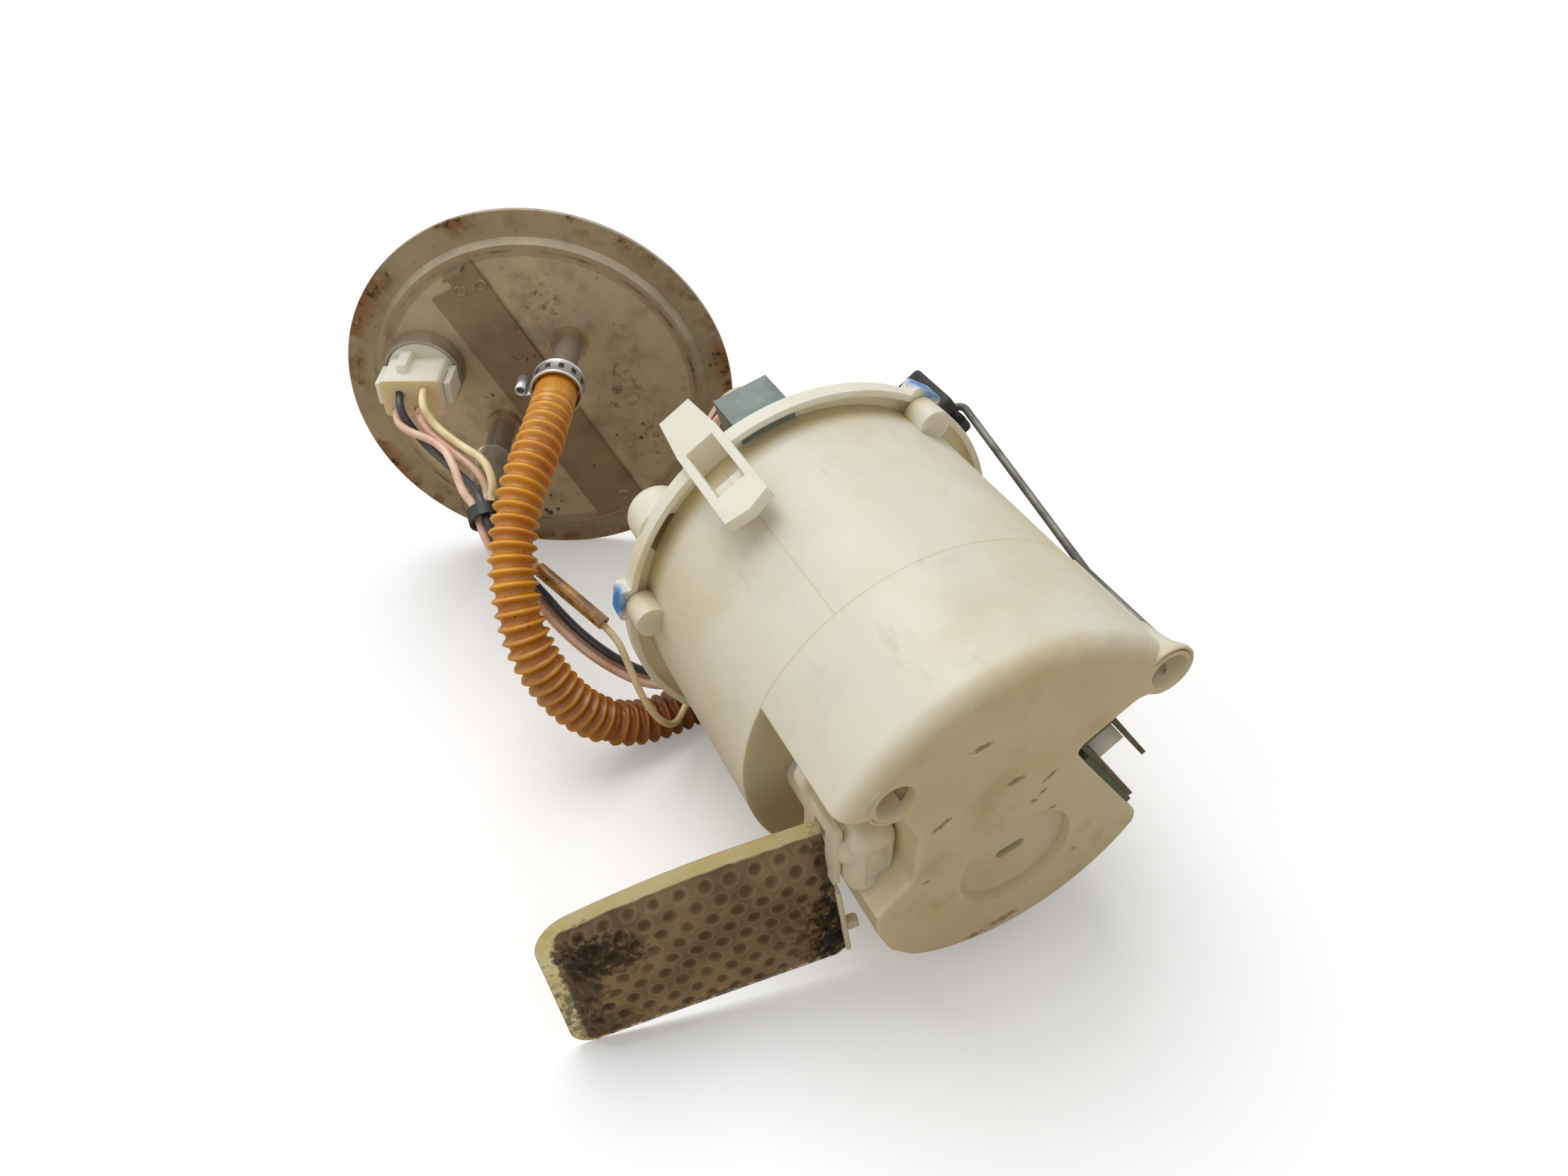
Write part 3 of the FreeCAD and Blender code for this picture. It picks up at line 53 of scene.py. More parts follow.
pot_origin = Vector((can_middle.x, can_low.y - CAN_ABOVE_BOTTOM, can_middle.z)) + CAN_OFF_AXIS


def on_pot(x, y, z):
    return pot_origin + Vector((x, y, z))


camera_data = bpy.data.cameras.new("camera")
camera_data.lens = 26
camera_data.sensor_width = 36
camera = bpy.data.objects.new("camera", camera_data)
bpy.context.collection.objects.link(camera)
camera.location = on_pot(-0.1123, -0.1145, 0.2002)
camera.rotation_euler = (math.radians(90 - CAMERA_LOOKS_DOWN), 0, math.radians(-CAMERA_TURNED))
bpy.context.scene.camera = camera

# Light and floor
# A broad soft lamp above, a weaker one from the left, and a room that the camera sees as white. The floor
# is a plain white sheet that keeps the shadow under the module, and throws a dim warm light back at it.
ROOM_LIGHT = 0.42
FLOOR_SEEN = (0.95, 0.95, 0.95, 1)
FLOOR_THROWN_BACK = (0.60, 0.50, 0.34, 1)
scene = bpy.context.scene
scene.view_settings.view_transform = "Standard"


def feed(tree, socket, value):
    """Sets one input: a value is a number, a colour or another node's output."""
    if isinstance(value, bpy.types.NodeSocket):
        tree.links.new(value, socket)
    else:
        socket.default_value = value


def set_inputs(tree, node, **values):
    """Sets a node's inputs by name, with _ for a space."""
    for name, value in values.items():
        feed(tree, node.inputs[name.replace("_", " ")], value)


def add_node(tree, kind, **values):
    """A new node with its inputs set by name."""
    made = tree.nodes.new(kind)
    set_inputs(tree, made, **values)
    return made


def maths(tree, operation, *values):
    made = tree.nodes.new("ShaderNodeMath")
    made.operation = operation
    for socket, value in zip(made.inputs, values):
        feed(tree, socket, value)
    return made.outputs[0]


def between(tree, value, low=0.0, high=1.0, least=0.0, most=1.0, soft=False):
    """Goes from least to most while a value goes from low to high, straight or easing in and out."""
    made = add_node(tree, "ShaderNodeMapRange", Value=value, From_Min=low, From_Max=high, To_Min=least,
                    To_Max=most)
    if soft:
        made.interpolation_type = "SMOOTHSTEP"
    return made.outputs[0]


world = bpy.data.worlds.new("white_room")
scene.world = world
world.use_nodes = True
room = world.node_tree
room.nodes.clear()
path = room.nodes.new("ShaderNodeLightPath")
seen = maths(room, "MAXIMUM", path.outputs["Is Camera Ray"], path.outputs["Is Glossy Ray"])
seen = maths(room, "MAXIMUM", seen, path.outputs["Is Transmission Ray"])
strength = between(room, seen, least=ROOM_LIGHT)
backdrop = add_node(room, "ShaderNodeBackground", Color=(1, 1, 1, 1), Strength=strength)
add_node(room, "ShaderNodeOutputWorld", Surface=backdrop.outputs[0])

for name, power, spread, tilt, turn in (("lamp_above", 1.45, 45, 24, 190), ("lamp_left", 0.35, 60, 60, 250)):
    lamp_data = bpy.data.lights.new(name, "SUN")
    lamp_data.energy = power
    lamp_data.angle = math.radians(spread)
    lamp = bpy.data.objects.new(name, lamp_data)
    bpy.context.collection.objects.link(lamp)
    lamp.rotation_euler = (math.radians(tilt), 0, math.radians(turn))


def link_mesh(name, bm, smooth=True):
    """A new object from a bmesh, with rounded or flat shading."""
    for face in bm.faces:
        face.smooth = smooth
    mesh = bpy.data.meshes.new(name)
    bm.to_mesh(mesh)
    bm.free()
    piece = bpy.data.objects.new(name, mesh)
    bpy.context.collection.objects.link(piece)
    return piece


def new_material(name):
    material = bpy.data.materials.new(name)
    material.use_nodes = True
    tree = material.node_tree
    return material, tree, tree.nodes["Principled BSDF"]


def colour(red, green, blue):
    """A linear colour from the 0 to 255 values seen in the photograph."""
    parts = [c / 255 for c in (red, green, blue)]
    return tuple(c / 12.92 if c < 0.04045 else ((c + 0.055) / 1.055) ** 2.4 for c in parts) + (1.0,)


bm = bmesh.new()
bmesh.ops.create_grid(bm, x_segments=1, y_segments=1, size=4.0)
floor = link_mesh("floor", bm, smooth=False)
floor_material, tree, shader = new_material("floor_white")
path = tree.nodes.new("ShaderNodeLightPath")
seen = maths(tree, "MAXIMUM", path.outputs["Is Camera Ray"], path.outputs["Is Transmission Ray"])
plain = add_node(tree, "ShaderNodeMixRGB", Fac=seen, Color1=FLOOR_THROWN_BACK, Color2=FLOOR_SEEN)
glow = add_node(tree, "ShaderNodeMixRGB", Fac=seen, Color1=(0, 0, 0, 1), Color2=(1, 1, 1, 1))
set_inputs(tree, shader, Base_Color=plain.outputs[0], Emission_Color=glow.outputs[0], Emission_Strength=0.2,
           Roughness=0.9, Specular_IOR_Level=0.0)
floor.data.materials.append(floor_material)

# Fuel hose
# A blow-moulded amber tube with a fold every 3.5 mm and a smooth cuff at each end. It is pushed over the
# supply pipe on the flange and over the outlet pipe on the lid, and darkens towards the lid. Its fold
# valleys are darkened as painted shade, and its crests carry a painted highlight.
FLANGE_CENTRE = (-0.0423, 0.2037, 0.006)
FLANGE_TURN = math.radians(-25.5)
flange_across = Vector((math.cos(FLANGE_TURN), math.sin(FLANGE_TURN), 0))
flange_out = Vector((math.sin(FLANGE_TURN), -math.cos(FLANGE_TURN), 0))


def on_flange(x, y, z):
    """A place on the flange: across, up, and out of its underside."""
    return on_pot(*FLANGE_CENTRE) + flange_across * x + Vector((0, 0, y)) + flange_out * z


def route_curve(name, points, radius=0.0):
    """A cord's smooth line through the air, as a NURBS spline."""
    curve = bpy.data.curves.new(name, "CURVE")
    curve.dimensions = "3D"
    curve.resolution_u = 16
    curve.bevel_depth = radius
    curve.bevel_resolution = 4
    curve.use_fill_caps = True
    spline = curve.splines.new("NURBS")
    spline.points.add(len(points) - 1)
    for point, place in zip(spline.points, points):
        point.co = (*place, 1)
    spline.order_u = 3
    spline.use_endpoint_u = True
    made = bpy.data.objects.new(name, curve)
    bpy.context.collection.objects.link(made)
    return made


def curve_places(made):
    """Points along a curve that has no bevel, in order."""
    mesh = bpy.data.meshes.new_from_object(made.evaluated_get(bpy.context.evaluated_depsgraph_get()))
    places = [v.co.copy() for v in mesh.vertices]
    bpy.data.meshes.remove(mesh)
    return places


def walk(places, step):
    """Matrices at equal steps along a line, turning no more than it does, with the last at its end."""
    reached = [0.0]
    for a, b in zip(places, places[1:]):
        reached.append(reached[-1] + (b - a).length)
    total = reached[-1]
    count = max(2, round(total / step))
    stations = []
    side = Vector((0, 0, 1))
    at = 0
    for i in range(count + 1):
        s = total * i / count
        while at < len(places) - 2 and reached[at + 1] < s:
            at += 1
        span = reached[at + 1] - reached[at]
        t = (s - reached[at]) / span if span else 0
        before = (places[at + 1] - places[max(at - 1, 0)]).normalized()
        after = (places[min(at + 2, len(places) - 1)] - places[at]).normalized()
        ahead = before.lerp(after, t).normalized()
        side = (side - ahead * side.dot(ahead)).normalized()
        up = ahead.cross(side)
        turn = Matrix((side, up, ahead)).transposed().to_4x4()
        stations.append((s, Matrix.Translation(places[at].lerp(places[at + 1], t)) @ turn))
    return stations, total


def sweep(bm, rings, segments):
    """A closed skin through a list of (matrix, radius, fold, along) rings, the last joined to the first."""
    folds = bm.verts.layers.float.get("fold") or bm.verts.layers.float.new("fold")
    alongs = bm.verts.layers.float.get("along") or bm.verts.layers.float.new("along")
    before = set(bm.verts)
    first = bmesh.ops.create_circle(bm, segments=segments, radius=1.0)["verts"]
    edges = list({e for v in first for e in v.link_edges})
    start = edges
    place = rings[0][0] @ Matrix.Diagonal((rings[0][1], rings[0][1], 1, 1))
    bmesh.ops.transform(bm, matrix=place, verts=first)
    for vert in first:
        vert[folds], vert[alongs] = rings[0][2:]
    for matrix, radius, fold, along in rings[1:]:
        grown = bmesh.ops.extrude_edge_only(bm, edges=edges)["geom"]
        verts = [g for g in grown if isinstance(g, bmesh.types.BMVert)]
        edges = [g for g in grown if isinstance(g, bmesh.types.BMEdge)]
        after = matrix @ Matrix.Diagonal((radius, radius, 1, 1))
        bmesh.ops.transform(bm, matrix=after @ place.inverted(), verts=verts)
        for vert in verts:
            vert[folds] = fold
            vert[alongs] = along
        place = after
    bmesh.ops.bridge_loops(bm, edges=start + edges)
    bmesh.ops.remove_doubles(bm, verts=[v for v in bm.verts if v not in before], dist=1e-6)
    bmesh.ops.recalc_face_normals(bm, faces=bm.faces)


HOSE_ROUTE = [(-0.0525, 0.1565, 0.0255), (-0.073, 0.1335, 0.012), (-0.079, 0.113, -0.0085),
              (-0.0725, 0.1045, -0.029), (-0.0605, 0.1018, -0.043), (-0.043, 0.1025, -0.0482),
              (-0.0038, 0.1105, -0.0482), (0.022, 0.1125, -0.0222)]
hose_start = on_flange(0.0111, 0.0195, 0.024)
hose_end = on_pot(0.022, 0.1125, 0.0055)
hose_line = route_curve("hose_line", [hose_start] + [on_pot(*p) for p in HOSE_ROUTE] + [hose_end])
hose_places = curve_places(hose_line)
bpy.data.objects.remove(hose_line)
hose_pitch = 0.0035
hose_crest = 0.00675
hose_root = 0.0052
hose_bore = 0.0043
hose_cuff_r = 0.0062
flange_cuff = 0.014
lid_cuff = 0.010
stations, hose_length = walk(hose_places, hose_pitch / 8)
outside = []
for s, matrix in stations:
    inside_cuff = min(s - flange_cuff, hose_length - lid_cuff - s)
    if inside_cuff < 0:
        radius = hose_cuff_r
        fold = 0.5
    else:
        grow = min(1.0, 0.3 + inside_cuff / 0.03)
        fold = (0.5 - 0.5 * math.cos(2 * math.pi * inside_cuff / hose_pitch)) ** (1.0 + 0.9 * grow)
        radius = hose_root + (hose_crest - hose_root) * ((1 - grow) * 0.6 + grow * fold)
    outside.append((matrix, radius, fold, s / hose_length))
far_mouth = [(stations[-1][1], hose_bore, 0.0, 1.0)]
bore = [(matrix, hose_bore, 0.0, s / hose_length) for s, matrix in stations[::-6]]
near_mouth = [(stations[0][1], hose_bore, 0.0, 0.0)]
bm = bmesh.new()
sweep(bm, outside + far_mouth + bore[1:] + near_mouth, 28)
hose = link_mesh("hose_amber", bm)


def effect(name, wanted, made):
    """An empty node group with named inputs and outputs, and its two end nodes."""
    group = bpy.data.node_groups.new(name, "ShaderNodeTree")
    for label, kind, value in wanted:
        group.interface.new_socket(name=label, in_out="INPUT", socket_type=kind).default_value = value
    for label, kind in made:
        group.interface.new_socket(name=label, in_out="OUTPUT", socket_type=kind)
    return group, group.nodes.new("NodeGroupInput"), group.nodes.new("NodeGroupOutput")


def vector_maths(tree, operation, first, second, output="Vector"):
    made = tree.nodes.new("ShaderNodeVectorMath")
    made.operation = operation
    feed(tree, made.inputs[0], first)
    feed(tree, made.inputs[1], second)
    return made.outputs[output]


def blend(tree, mask, under, over):
    """One colour laid over another where the mask is 1."""
    made = tree.nodes.new("ShaderNodeMix")
    made.data_type = "RGBA"
    for i, value in ((0, mask), (6, under), (7, over)):
        feed(tree, made.inputs[i], value)
    return made.outputs[2]


def lay(tree, base, mask, share, shade):
    """A colour of the photograph laid over another, by a share of what the mask gives."""
    return blend(tree, maths(tree, "MULTIPLY", mask, share), base, colour(*shade))


# A cloudy stain: soft patches between a low and a high limit
VALUE = "NodeSocketFloat"
PLACE = ("Vector", "NodeSocketVector", (0, 0, 0))
MASK = [("Mask", VALUE)]
stain, goes_in, goes_out = effect("stain", [PLACE, ("Scale", VALUE, 40.0), ("Low", VALUE, 0.45),
                                            ("High", VALUE, 0.65)], MASK)
cloud = add_node(stain, "ShaderNodeTexNoise", Vector=goes_in.outputs["Vector"],
                 Scale=goes_in.outputs["Scale"], Detail=5.0, Roughness=0.6)
patches = between(stain, cloud.outputs[0], goes_in.outputs["Low"], goes_in.outputs["High"], soft=True)
stain.links.new(patches, goes_out.inputs["Mask"])

# Specks: small dark dots, in some places more than in others
specks, goes_in, goes_out = effect("specks", [PLACE, ("Scale", VALUE, 150.0), ("Size", VALUE, 0.12),
                                              ("Spread", VALUE, 0.5)], MASK)
shaken = add_node(specks, "ShaderNodeTexNoise", Vector=goes_in.outputs["Vector"], Scale=900.0, Detail=2.0)
moved = vector_maths(specks, "MULTIPLY", shaken.outputs["Color"], (0.0012, 0.0012, 0.0012))
around = vector_maths(specks, "ADD", goes_in.outputs["Vector"], moved)
cells = add_node(specks, "ShaderNodeTexVoronoi", Vector=around, Scale=goes_in.outputs["Scale"])
where = add_node(specks, "ShaderNodeTexNoise", Vector=goes_in.outputs["Vector"], Scale=35.0, Detail=3.0)
gate = maths(specks, "SUBTRACT", where.outputs[0], goes_in.outputs["Spread"])
grown = maths(specks, "MINIMUM", maths(specks, "MULTIPLY", gate, 6.0), 1.0)
grown = maths(specks, "MULTIPLY", grown, goes_in.outputs["Size"])
inside = maths(specks, "SUBTRACT", grown, cells.outputs["Distance"])
dots = add_node(specks, "ShaderNodeClamp", Value=maths(specks, "MULTIPLY", inside, 25.0))
specks.links.new(dots.outputs[0], goes_out.inputs["Mask"])

# A single mark at one place: a streak or a blot with a broken edge
mark, goes_in, goes_out = effect("mark", [PLACE, ("Centre", "NodeSocketVector", (0, 0, 0)),
                                          ("Along", "NodeSocketVector", (1, 0, 0)), ("Length", VALUE, 0.003),
                                          ("Width", VALUE, 0.001), ("Rough", VALUE, 1.0)], MASK)
away = vector_maths(mark, "SUBTRACT", goes_in.outputs["Vector"], goes_in.outputs["Centre"])
line = vector_maths(mark, "DOT_PRODUCT", away, goes_in.outputs["Along"], "Value")
whole = vector_maths(mark, "DOT_PRODUCT", away, away, "Value")
sides = (line, goes_in.outputs["Length"], goes_in.outputs["Width"])
line_square, length_square, width_square = (maths(mark, "MULTIPLY", side, side) for side in sides)
span = maths(mark, "ADD", maths(mark, "DIVIDE", line_square, length_square),
             maths(mark, "DIVIDE", maths(mark, "SUBTRACT", whole, line_square), width_square))
torn = add_node(mark, "ShaderNodeTexNoise", Vector=goes_in.outputs["Vector"], Scale=600.0, Detail=4.0,
                Roughness=0.7)
torn_by = maths(mark, "MULTIPLY", maths(mark, "SUBTRACT", torn.outputs[0], 0.5), 7.0)
edge = maths(mark, "ADD", span, maths(mark, "MULTIPLY", torn_by, goes_in.outputs["Rough"]))
inside = maths(mark, "MULTIPLY", maths(mark, "SUBTRACT", 1.0, edge), 1.3)
inside = add_node(mark, "ShaderNodeClamp", Value=inside)
mark.links.new(inside.outputs[0], goes_out.inputs["Mask"])


def use(tree, group, **values):
    """A node group placed in a material, with its inputs set, as the mask that it gives."""
    made = tree.nodes.new("ShaderNodeGroup")
    made.node_tree = group
    set_inputs(tree, made, **values)
    return made.outputs[0]


def lay_clouds(tree, base, place, cloud, share, shade):
    """Lays a colour in soft patches, given by their scale and their low and high limits."""
    scale, low, high = cloud
    return lay(tree, base, use(tree, stain, Vector=place, Scale=scale, Low=low, High=high), share, shade)


def lay_specks(tree, base, place, speck, share, shade):
    """Lays a colour in small dots, given by their scale, size and spread."""
    scale, size, spread = speck
    return lay(tree, base, use(tree, specks, Vector=place, Scale=scale, Size=size, Spread=spread), share, shade)


def surface(tree, shader, height, distance, strength):
    """A fine relief, in metres, that catches the light."""
    bump = add_node(tree, "ShaderNodeBump", Strength=strength, Distance=distance, Height=height)
    tree.links.new(bump.outputs[0], shader.inputs["Normal"])


def on_piece(tree):
    """A point's place on its piece."""
    return tree.nodes.new("ShaderNodeTexCoord").outputs["Object"]


def kept_on(tree, name, output="Fac"):
    """A value that the mesh keeps at each of its points."""
    kept = tree.nodes.new("ShaderNodeAttribute")
    kept.attribute_name = name
    return kept.outputs[output]


amber, tree, shader = new_material("amber_plastic")
place = on_piece(tree)
fold_height = kept_on(tree, "fold")
way_along = kept_on(tree, "along")
deep = use(tree, stain, Vector=place, Scale=60.0, Low=0.35, High=0.7)
base = blend(tree, deep, colour(240, 168, 32), colour(216, 130, 18))
# Painted shade: the fold valleys are darkened towards a deep amber.
valley_shade_and_soot = maths(tree, "SUBTRACT", 1.0, fold_height)
base = lay(tree, base, valley_shade_and_soot, 0.5, (160, 84, 6))
# Painted highlight: a thin pale line along each fold's crest.
crest_highlight = maths(tree, "POWER", fold_height, 5.0)
base = lay(tree, base, crest_highlight, 0.4, (250, 200, 96))
base = lay_clouds(tree, base, place, (26.0, 0.52, 0.75), 0.4, (140, 72, 16))
base = lay(tree, base, between(tree, way_along, 0.3, 0.62), 0.8, (112, 44, 6))
base = lay(tree, base, between(tree, way_along, 0.5, 0.66), 0.5, (64, 20, 4))
base = lay_specks(tree, base, place, (260.0, 0.22, 0.5), 0.8, (54, 28, 12))
# Soot patches, kept to the fold valleys.
soot = use(tree, stain, Vector=place, Scale=420.0, Low=0.6, High=0.72)
base = lay(tree, base, maths(tree, "MULTIPLY", soot, valley_shade_and_soot), 0.6, (64, 32, 10))
wear = use(tree, stain, Vector=place, Scale=300.0, Low=0.3, High=0.8)
set_inputs(tree, shader, Base_Color=base, Roughness=between(tree, wear, least=0.22, most=0.42),
           Coat_Weight=0.1, Coat_Roughness=0.2, Subsurface_Weight=0.25,
           Subsurface_Radius=(0.004, 0.0015, 0.0004), Subsurface_Scale=1.0)
hose.data.materials.append(amber)
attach(hose, "module")
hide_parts("fuel_hose")
hose_path = [matrix.translation for s, matrix in stations[::4]]
if (hose_path[-1] - stations[-1][1].translation).length > 1e-7:
    hose_path.append(stations[-1][1].translation)

# Wires
# Four plastic-covered copper leads of 2.4 mm from the plug on the flange. A black clip bundles them. The
# cream lead ends in a crimped amber splice, from which a thin pale lead runs on to the lid's connector.
WIRE_R = 0.0012
THIN_R = 0.001
PLUG_AT = (-0.0345, 0.012)
PLUG_FACE = 0.0193
CONTACT_TURN = math.radians(105)
CONTACT_REACH = 0.0478
CONTACT_PITCH = 0.003
CONTACT_TOP = 0.1038
PEACH_ROUTE = [(-0.0802, 0.179, 0.0131), (-0.079, 0.17, 0.0106), (-0.0795, 0.1607, 0.0069),
               (-0.0775, 0.1573, 0.0045), (-0.0781, 0.1479, 0.0009), (-0.0766, 0.1429, -0.006),
               (-0.0719, 0.1296, -0.0096), (-0.0667, 0.1177, -0.017), (-0.0589, 0.1093, -0.0254),
               (-0.0492, 0.1046, -0.0337), (-0.039, 0.1033, -0.0376), (-0.0295, 0.1038, -0.035),
               (-0.0235, 0.1063, -0.027), (-0.0245, 0.1098, -0.014), (-0.0288, 0.1128, -0.001),
               (-0.0285, 0.1148, 0.012), (-0.0235, 0.1163, 0.0245)]
BLACK_ROUTE = [(-0.0839, 0.1892, 0.008), (-0.08, 0.1787, 0.0061), (-0.0758, 0.1642, 0.0055),
               (-0.0754, 0.1565, 0.0064), (-0.076, 0.1472, 0.0029), (-0.0744, 0.1435, -0.0048),
               (-0.0691, 0.1299, -0.008), (-0.064, 0.1181, -0.0153), (-0.0566, 0.1101, -0.0234),
               (-0.047, 0.1057, -0.0314), (-0.0375, 0.1059, -0.0355), (-0.0295, 0.1064, -0.035),
               (-0.0235, 0.1089, -0.027), (-0.0245, 0.1124, -0.014), (-0.0288, 0.1154, -0.001),
               (-0.0285, 0.1174, 0.012), (-0.0235, 0.1189, 0.0245)]
PEACH_BACK_ROUTE = [(-0.0775, 0.1766, 0.0105), (-0.0729, 0.1677, 0.0083), (-0.0721, 0.1616, 0.0032),
                    (-0.0754, 0.158, 0.0025), (-0.076, 0.1487, -0.001), (-0.0749, 0.1453, -0.007),
                    (-0.0701, 0.1319, -0.0107), (-0.065, 0.1199, -0.0181), (-0.0573, 0.1117, -0.0264),
                    (-0.0475, 0.1071, -0.0346), (-0.0375, 0.1088, -0.0355), (-0.0295, 0.1093, -0.035),
                    (-0.0235, 0.1118, -0.027), (-0.0245, 0.1153, -0.014), (-0.0288, 0.1183, -0.001),
                    (-0.0285, 0.1203, 0.012), (-0.0235, 0.1218, 0.0245)]
CREAM_ROUTE = [(-0.08, 0.1854, 0.0152), (-0.075, 0.1748, 0.0129), (-0.0704, 0.1659, 0.0122),
               (-0.0706, 0.1588, 0.0079), (-0.0729, 0.1573, 0.0045), (-0.0735, 0.1479, 0.0009),
               (-0.0711, 0.1382, 0.001)]
THIN_ROUTE = [(-0.0537, 0.102, -0.0204), (-0.0524, 0.0954, -0.0295), (-0.0494, 0.0916, -0.0364),
              (-0.0443, 0.0933, -0.0423), (-0.0376, 0.1, -0.0408), (-0.0315, 0.107, -0.0397),
              (-0.0235, 0.1125, -0.036), (-0.0205, 0.116, -0.024), (-0.023, 0.1185, -0.011),
              (-0.0288, 0.1208, -0.001), (-0.0285, 0.1228, 0.012), (-0.0235, 0.1243, 0.0245)]
splice_from = on_pot(-0.0676, 0.1303, -0.003)
splice_to = on_pot(-0.0567, 0.1097, -0.011)
splice_along = (splice_to - splice_from).normalized()
splice_middle = (splice_from + splice_to) / 2


def out_of_plug(across, up, lead):
    """A wire's first two points: inside the plug's face, and straight out of it."""
    x = PLUG_AT[0] + across
    y = PLUG_AT[1] + up
    return [on_flange(x, y, PLUG_FACE), on_flange(x, y, PLUG_FACE + lead)]


def into_contact(row, height):
    """A wire's last two points: over its contact on the lid, and down to it."""
    side = (row - 1.5) * CONTACT_PITCH
    x = CONTACT_REACH * math.cos(CONTACT_TURN) - side * math.sin(CONTACT_TURN)
    z = CONTACT_REACH * math.sin(CONTACT_TURN) + side * math.cos(CONTACT_TURN)
    return [on_pot(x, height, z), on_pot(x, CONTACT_TOP, z)]


lines = {}
for name, plug_end, route, contact in (
        ("wire_peach", (-0.0055, -0.004, 0.011), PEACH_ROUTE, (3, 0.1165)),
        ("wire_black", (-0.0035, 0.0015, 0.009), BLACK_ROUTE, (2, 0.1192)),
        ("wire_peach_back", (0.001, -0.004, 0.008), PEACH_BACK_ROUTE, (1, 0.122))):
    lines[name] = out_of_plug(*plug_end) + [on_pot(*p) for p in route] + into_contact(*contact)
cream_end = [splice_from - splice_along * 0.005, splice_middle]
lines["wire_cream"] = out_of_plug(0.004, 0.003, 0.009) + [on_pot(*p) for p in CREAM_ROUTE] + cream_end
thin_start = [splice_middle, splice_to + splice_along * 0.004]
lines["wire_thin"] = thin_start + [on_pot(*p) for p in THIN_ROUTE] + into_contact(0, 0.1246)
covers = {
    "wire_peach": ("peach_wire", (252, 218, 194), (232, 184, 158)),
    "wire_black": ("black_wire", (58, 60, 64), (36, 36, 40)),
    "wire_peach_back": ("peach_wire", (248, 210, 186), (228, 178, 150)),
    "wire_cream": ("cream_wire", (250, 232, 182), (232, 208, 150)),
    "wire_thin": ("cream_wire", (236, 218, 170), (204, 180, 124)),
}
for name, points in lines.items():
    radius = THIN_R if name == "wire_thin" else WIRE_R
    wire = route_curve(name + "_lead", points, radius)
    slot_name, fresh, faded = covers[name]
    cover, tree, shader = new_material(name + "_cover")
    place = on_piece(tree)
    worn = use(tree, stain, Vector=place, Scale=120.0, Low=0.4, High=0.7)
    base = blend(tree, worn, colour(*fresh), colour(*faded))
    base = lay_specks(tree, base, place, (420.0, 0.25, 0.5), 0.75, (60, 42, 28))
    set_inputs(tree, shader, Base_Color=base, Roughness=0.38, Coat_Weight=0.15)
    ripple = add_node(tree, "ShaderNodeTexNoise", Vector=place, Scale=500.0, Detail=3.0)
    surface(tree, shader, ripple.outputs[0], 0.0001, 0.4)
    wire.data.materials.append(cover)
    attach(wire, "module")
    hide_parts(name)


def shell(piece, material):
    """Gives a CAD piece one material in place of its own."""
    piece.data.materials.clear()
    piece.data.materials.append(material)


# The splice keeps its tube, in darkened amber plastic
splice_amber, tree, shader = new_material("splice_amber")
place = on_piece(tree)
burnt = use(tree, stain, Vector=place, Scale=180.0, Low=0.4, High=0.62)
base = blend(tree, burnt, colour(190, 138, 48), colour(120, 78, 28))
dirt = use(tree, specks, Vector=place, Scale=420.0, Size=0.3, Spread=0.45)
base = blend(tree, dirt, base, colour(52, 34, 16))
set_inputs(tree, shader, Base_Color=base, Roughness=0.28, Coat_Weight=0.5)
shell(nodes["splice_sleeve"], splice_amber)

# Moulded pot
# The pot is one blow-moulded shell of pale ivory plastic. Its left recess, its bottom and its top under the
# lid's skirt are laid over with a yellowish tan as painted shade. A fine seam runs round it at the step, and a
# parting line runs up from there. Dark specks and rubbed streaks lie on its bottom.
IVORY_RELIEF = 0.00004


def ivory_plastic(name, pale, yellow, grey):
    """Old ivory plastic: pale, with yellowed and greyish clouds, fine scratches and dark specks."""
    material, tree, shader = new_material(name)
    place = on_piece(tree)
    warm = use(tree, stain, Vector=place, Scale=26.0, Low=0.42, High=0.72)
    base = blend(tree, maths(tree, "MULTIPLY", warm, 0.55), colour(*pale), colour(*yellow))
    base = lay_clouds(tree, base, place, (44.0, 0.5, 0.78), 0.4, grey)
    smear = add_node(tree, "ShaderNodeMapping", Vector=place, Scale=(1.0, 0.35, 1.0),
                     Rotation=(0.3, 0.2, 0.5))
    base = lay_clouds(tree, base, smear.outputs[0], (150.0, 0.6, 0.85), 0.35, (142, 130, 104))
    base = lay_specks(tree, base, place, (230.0, 0.17, 0.56), 0.8, (84, 68, 42))
    fine = add_node(tree, "ShaderNodeTexNoise", Vector=place, Scale=700.0, Detail=4.0)
    set_inputs(tree, shader, Roughness=between(tree, warm, least=0.34, most=0.52), Subsurface_Weight=0.3,
               Subsurface_Radius=(0.006, 0.0045, 0.0028), Subsurface_Scale=1.0)
    return material, tree, shader, place, base, fine.outputs[0]


def plain_ivory(name, pale, yellow, grey):
    """The ivory plastic on its own, with its fine relief."""
    material, tree, shader, place, base, fine = ivory_plastic(name, pale, yellow, grey)
    set_inputs(tree, shader, Base_Color=base)
    surface(tree, shader, fine, IVORY_RELIEF, 0.5)
    return material


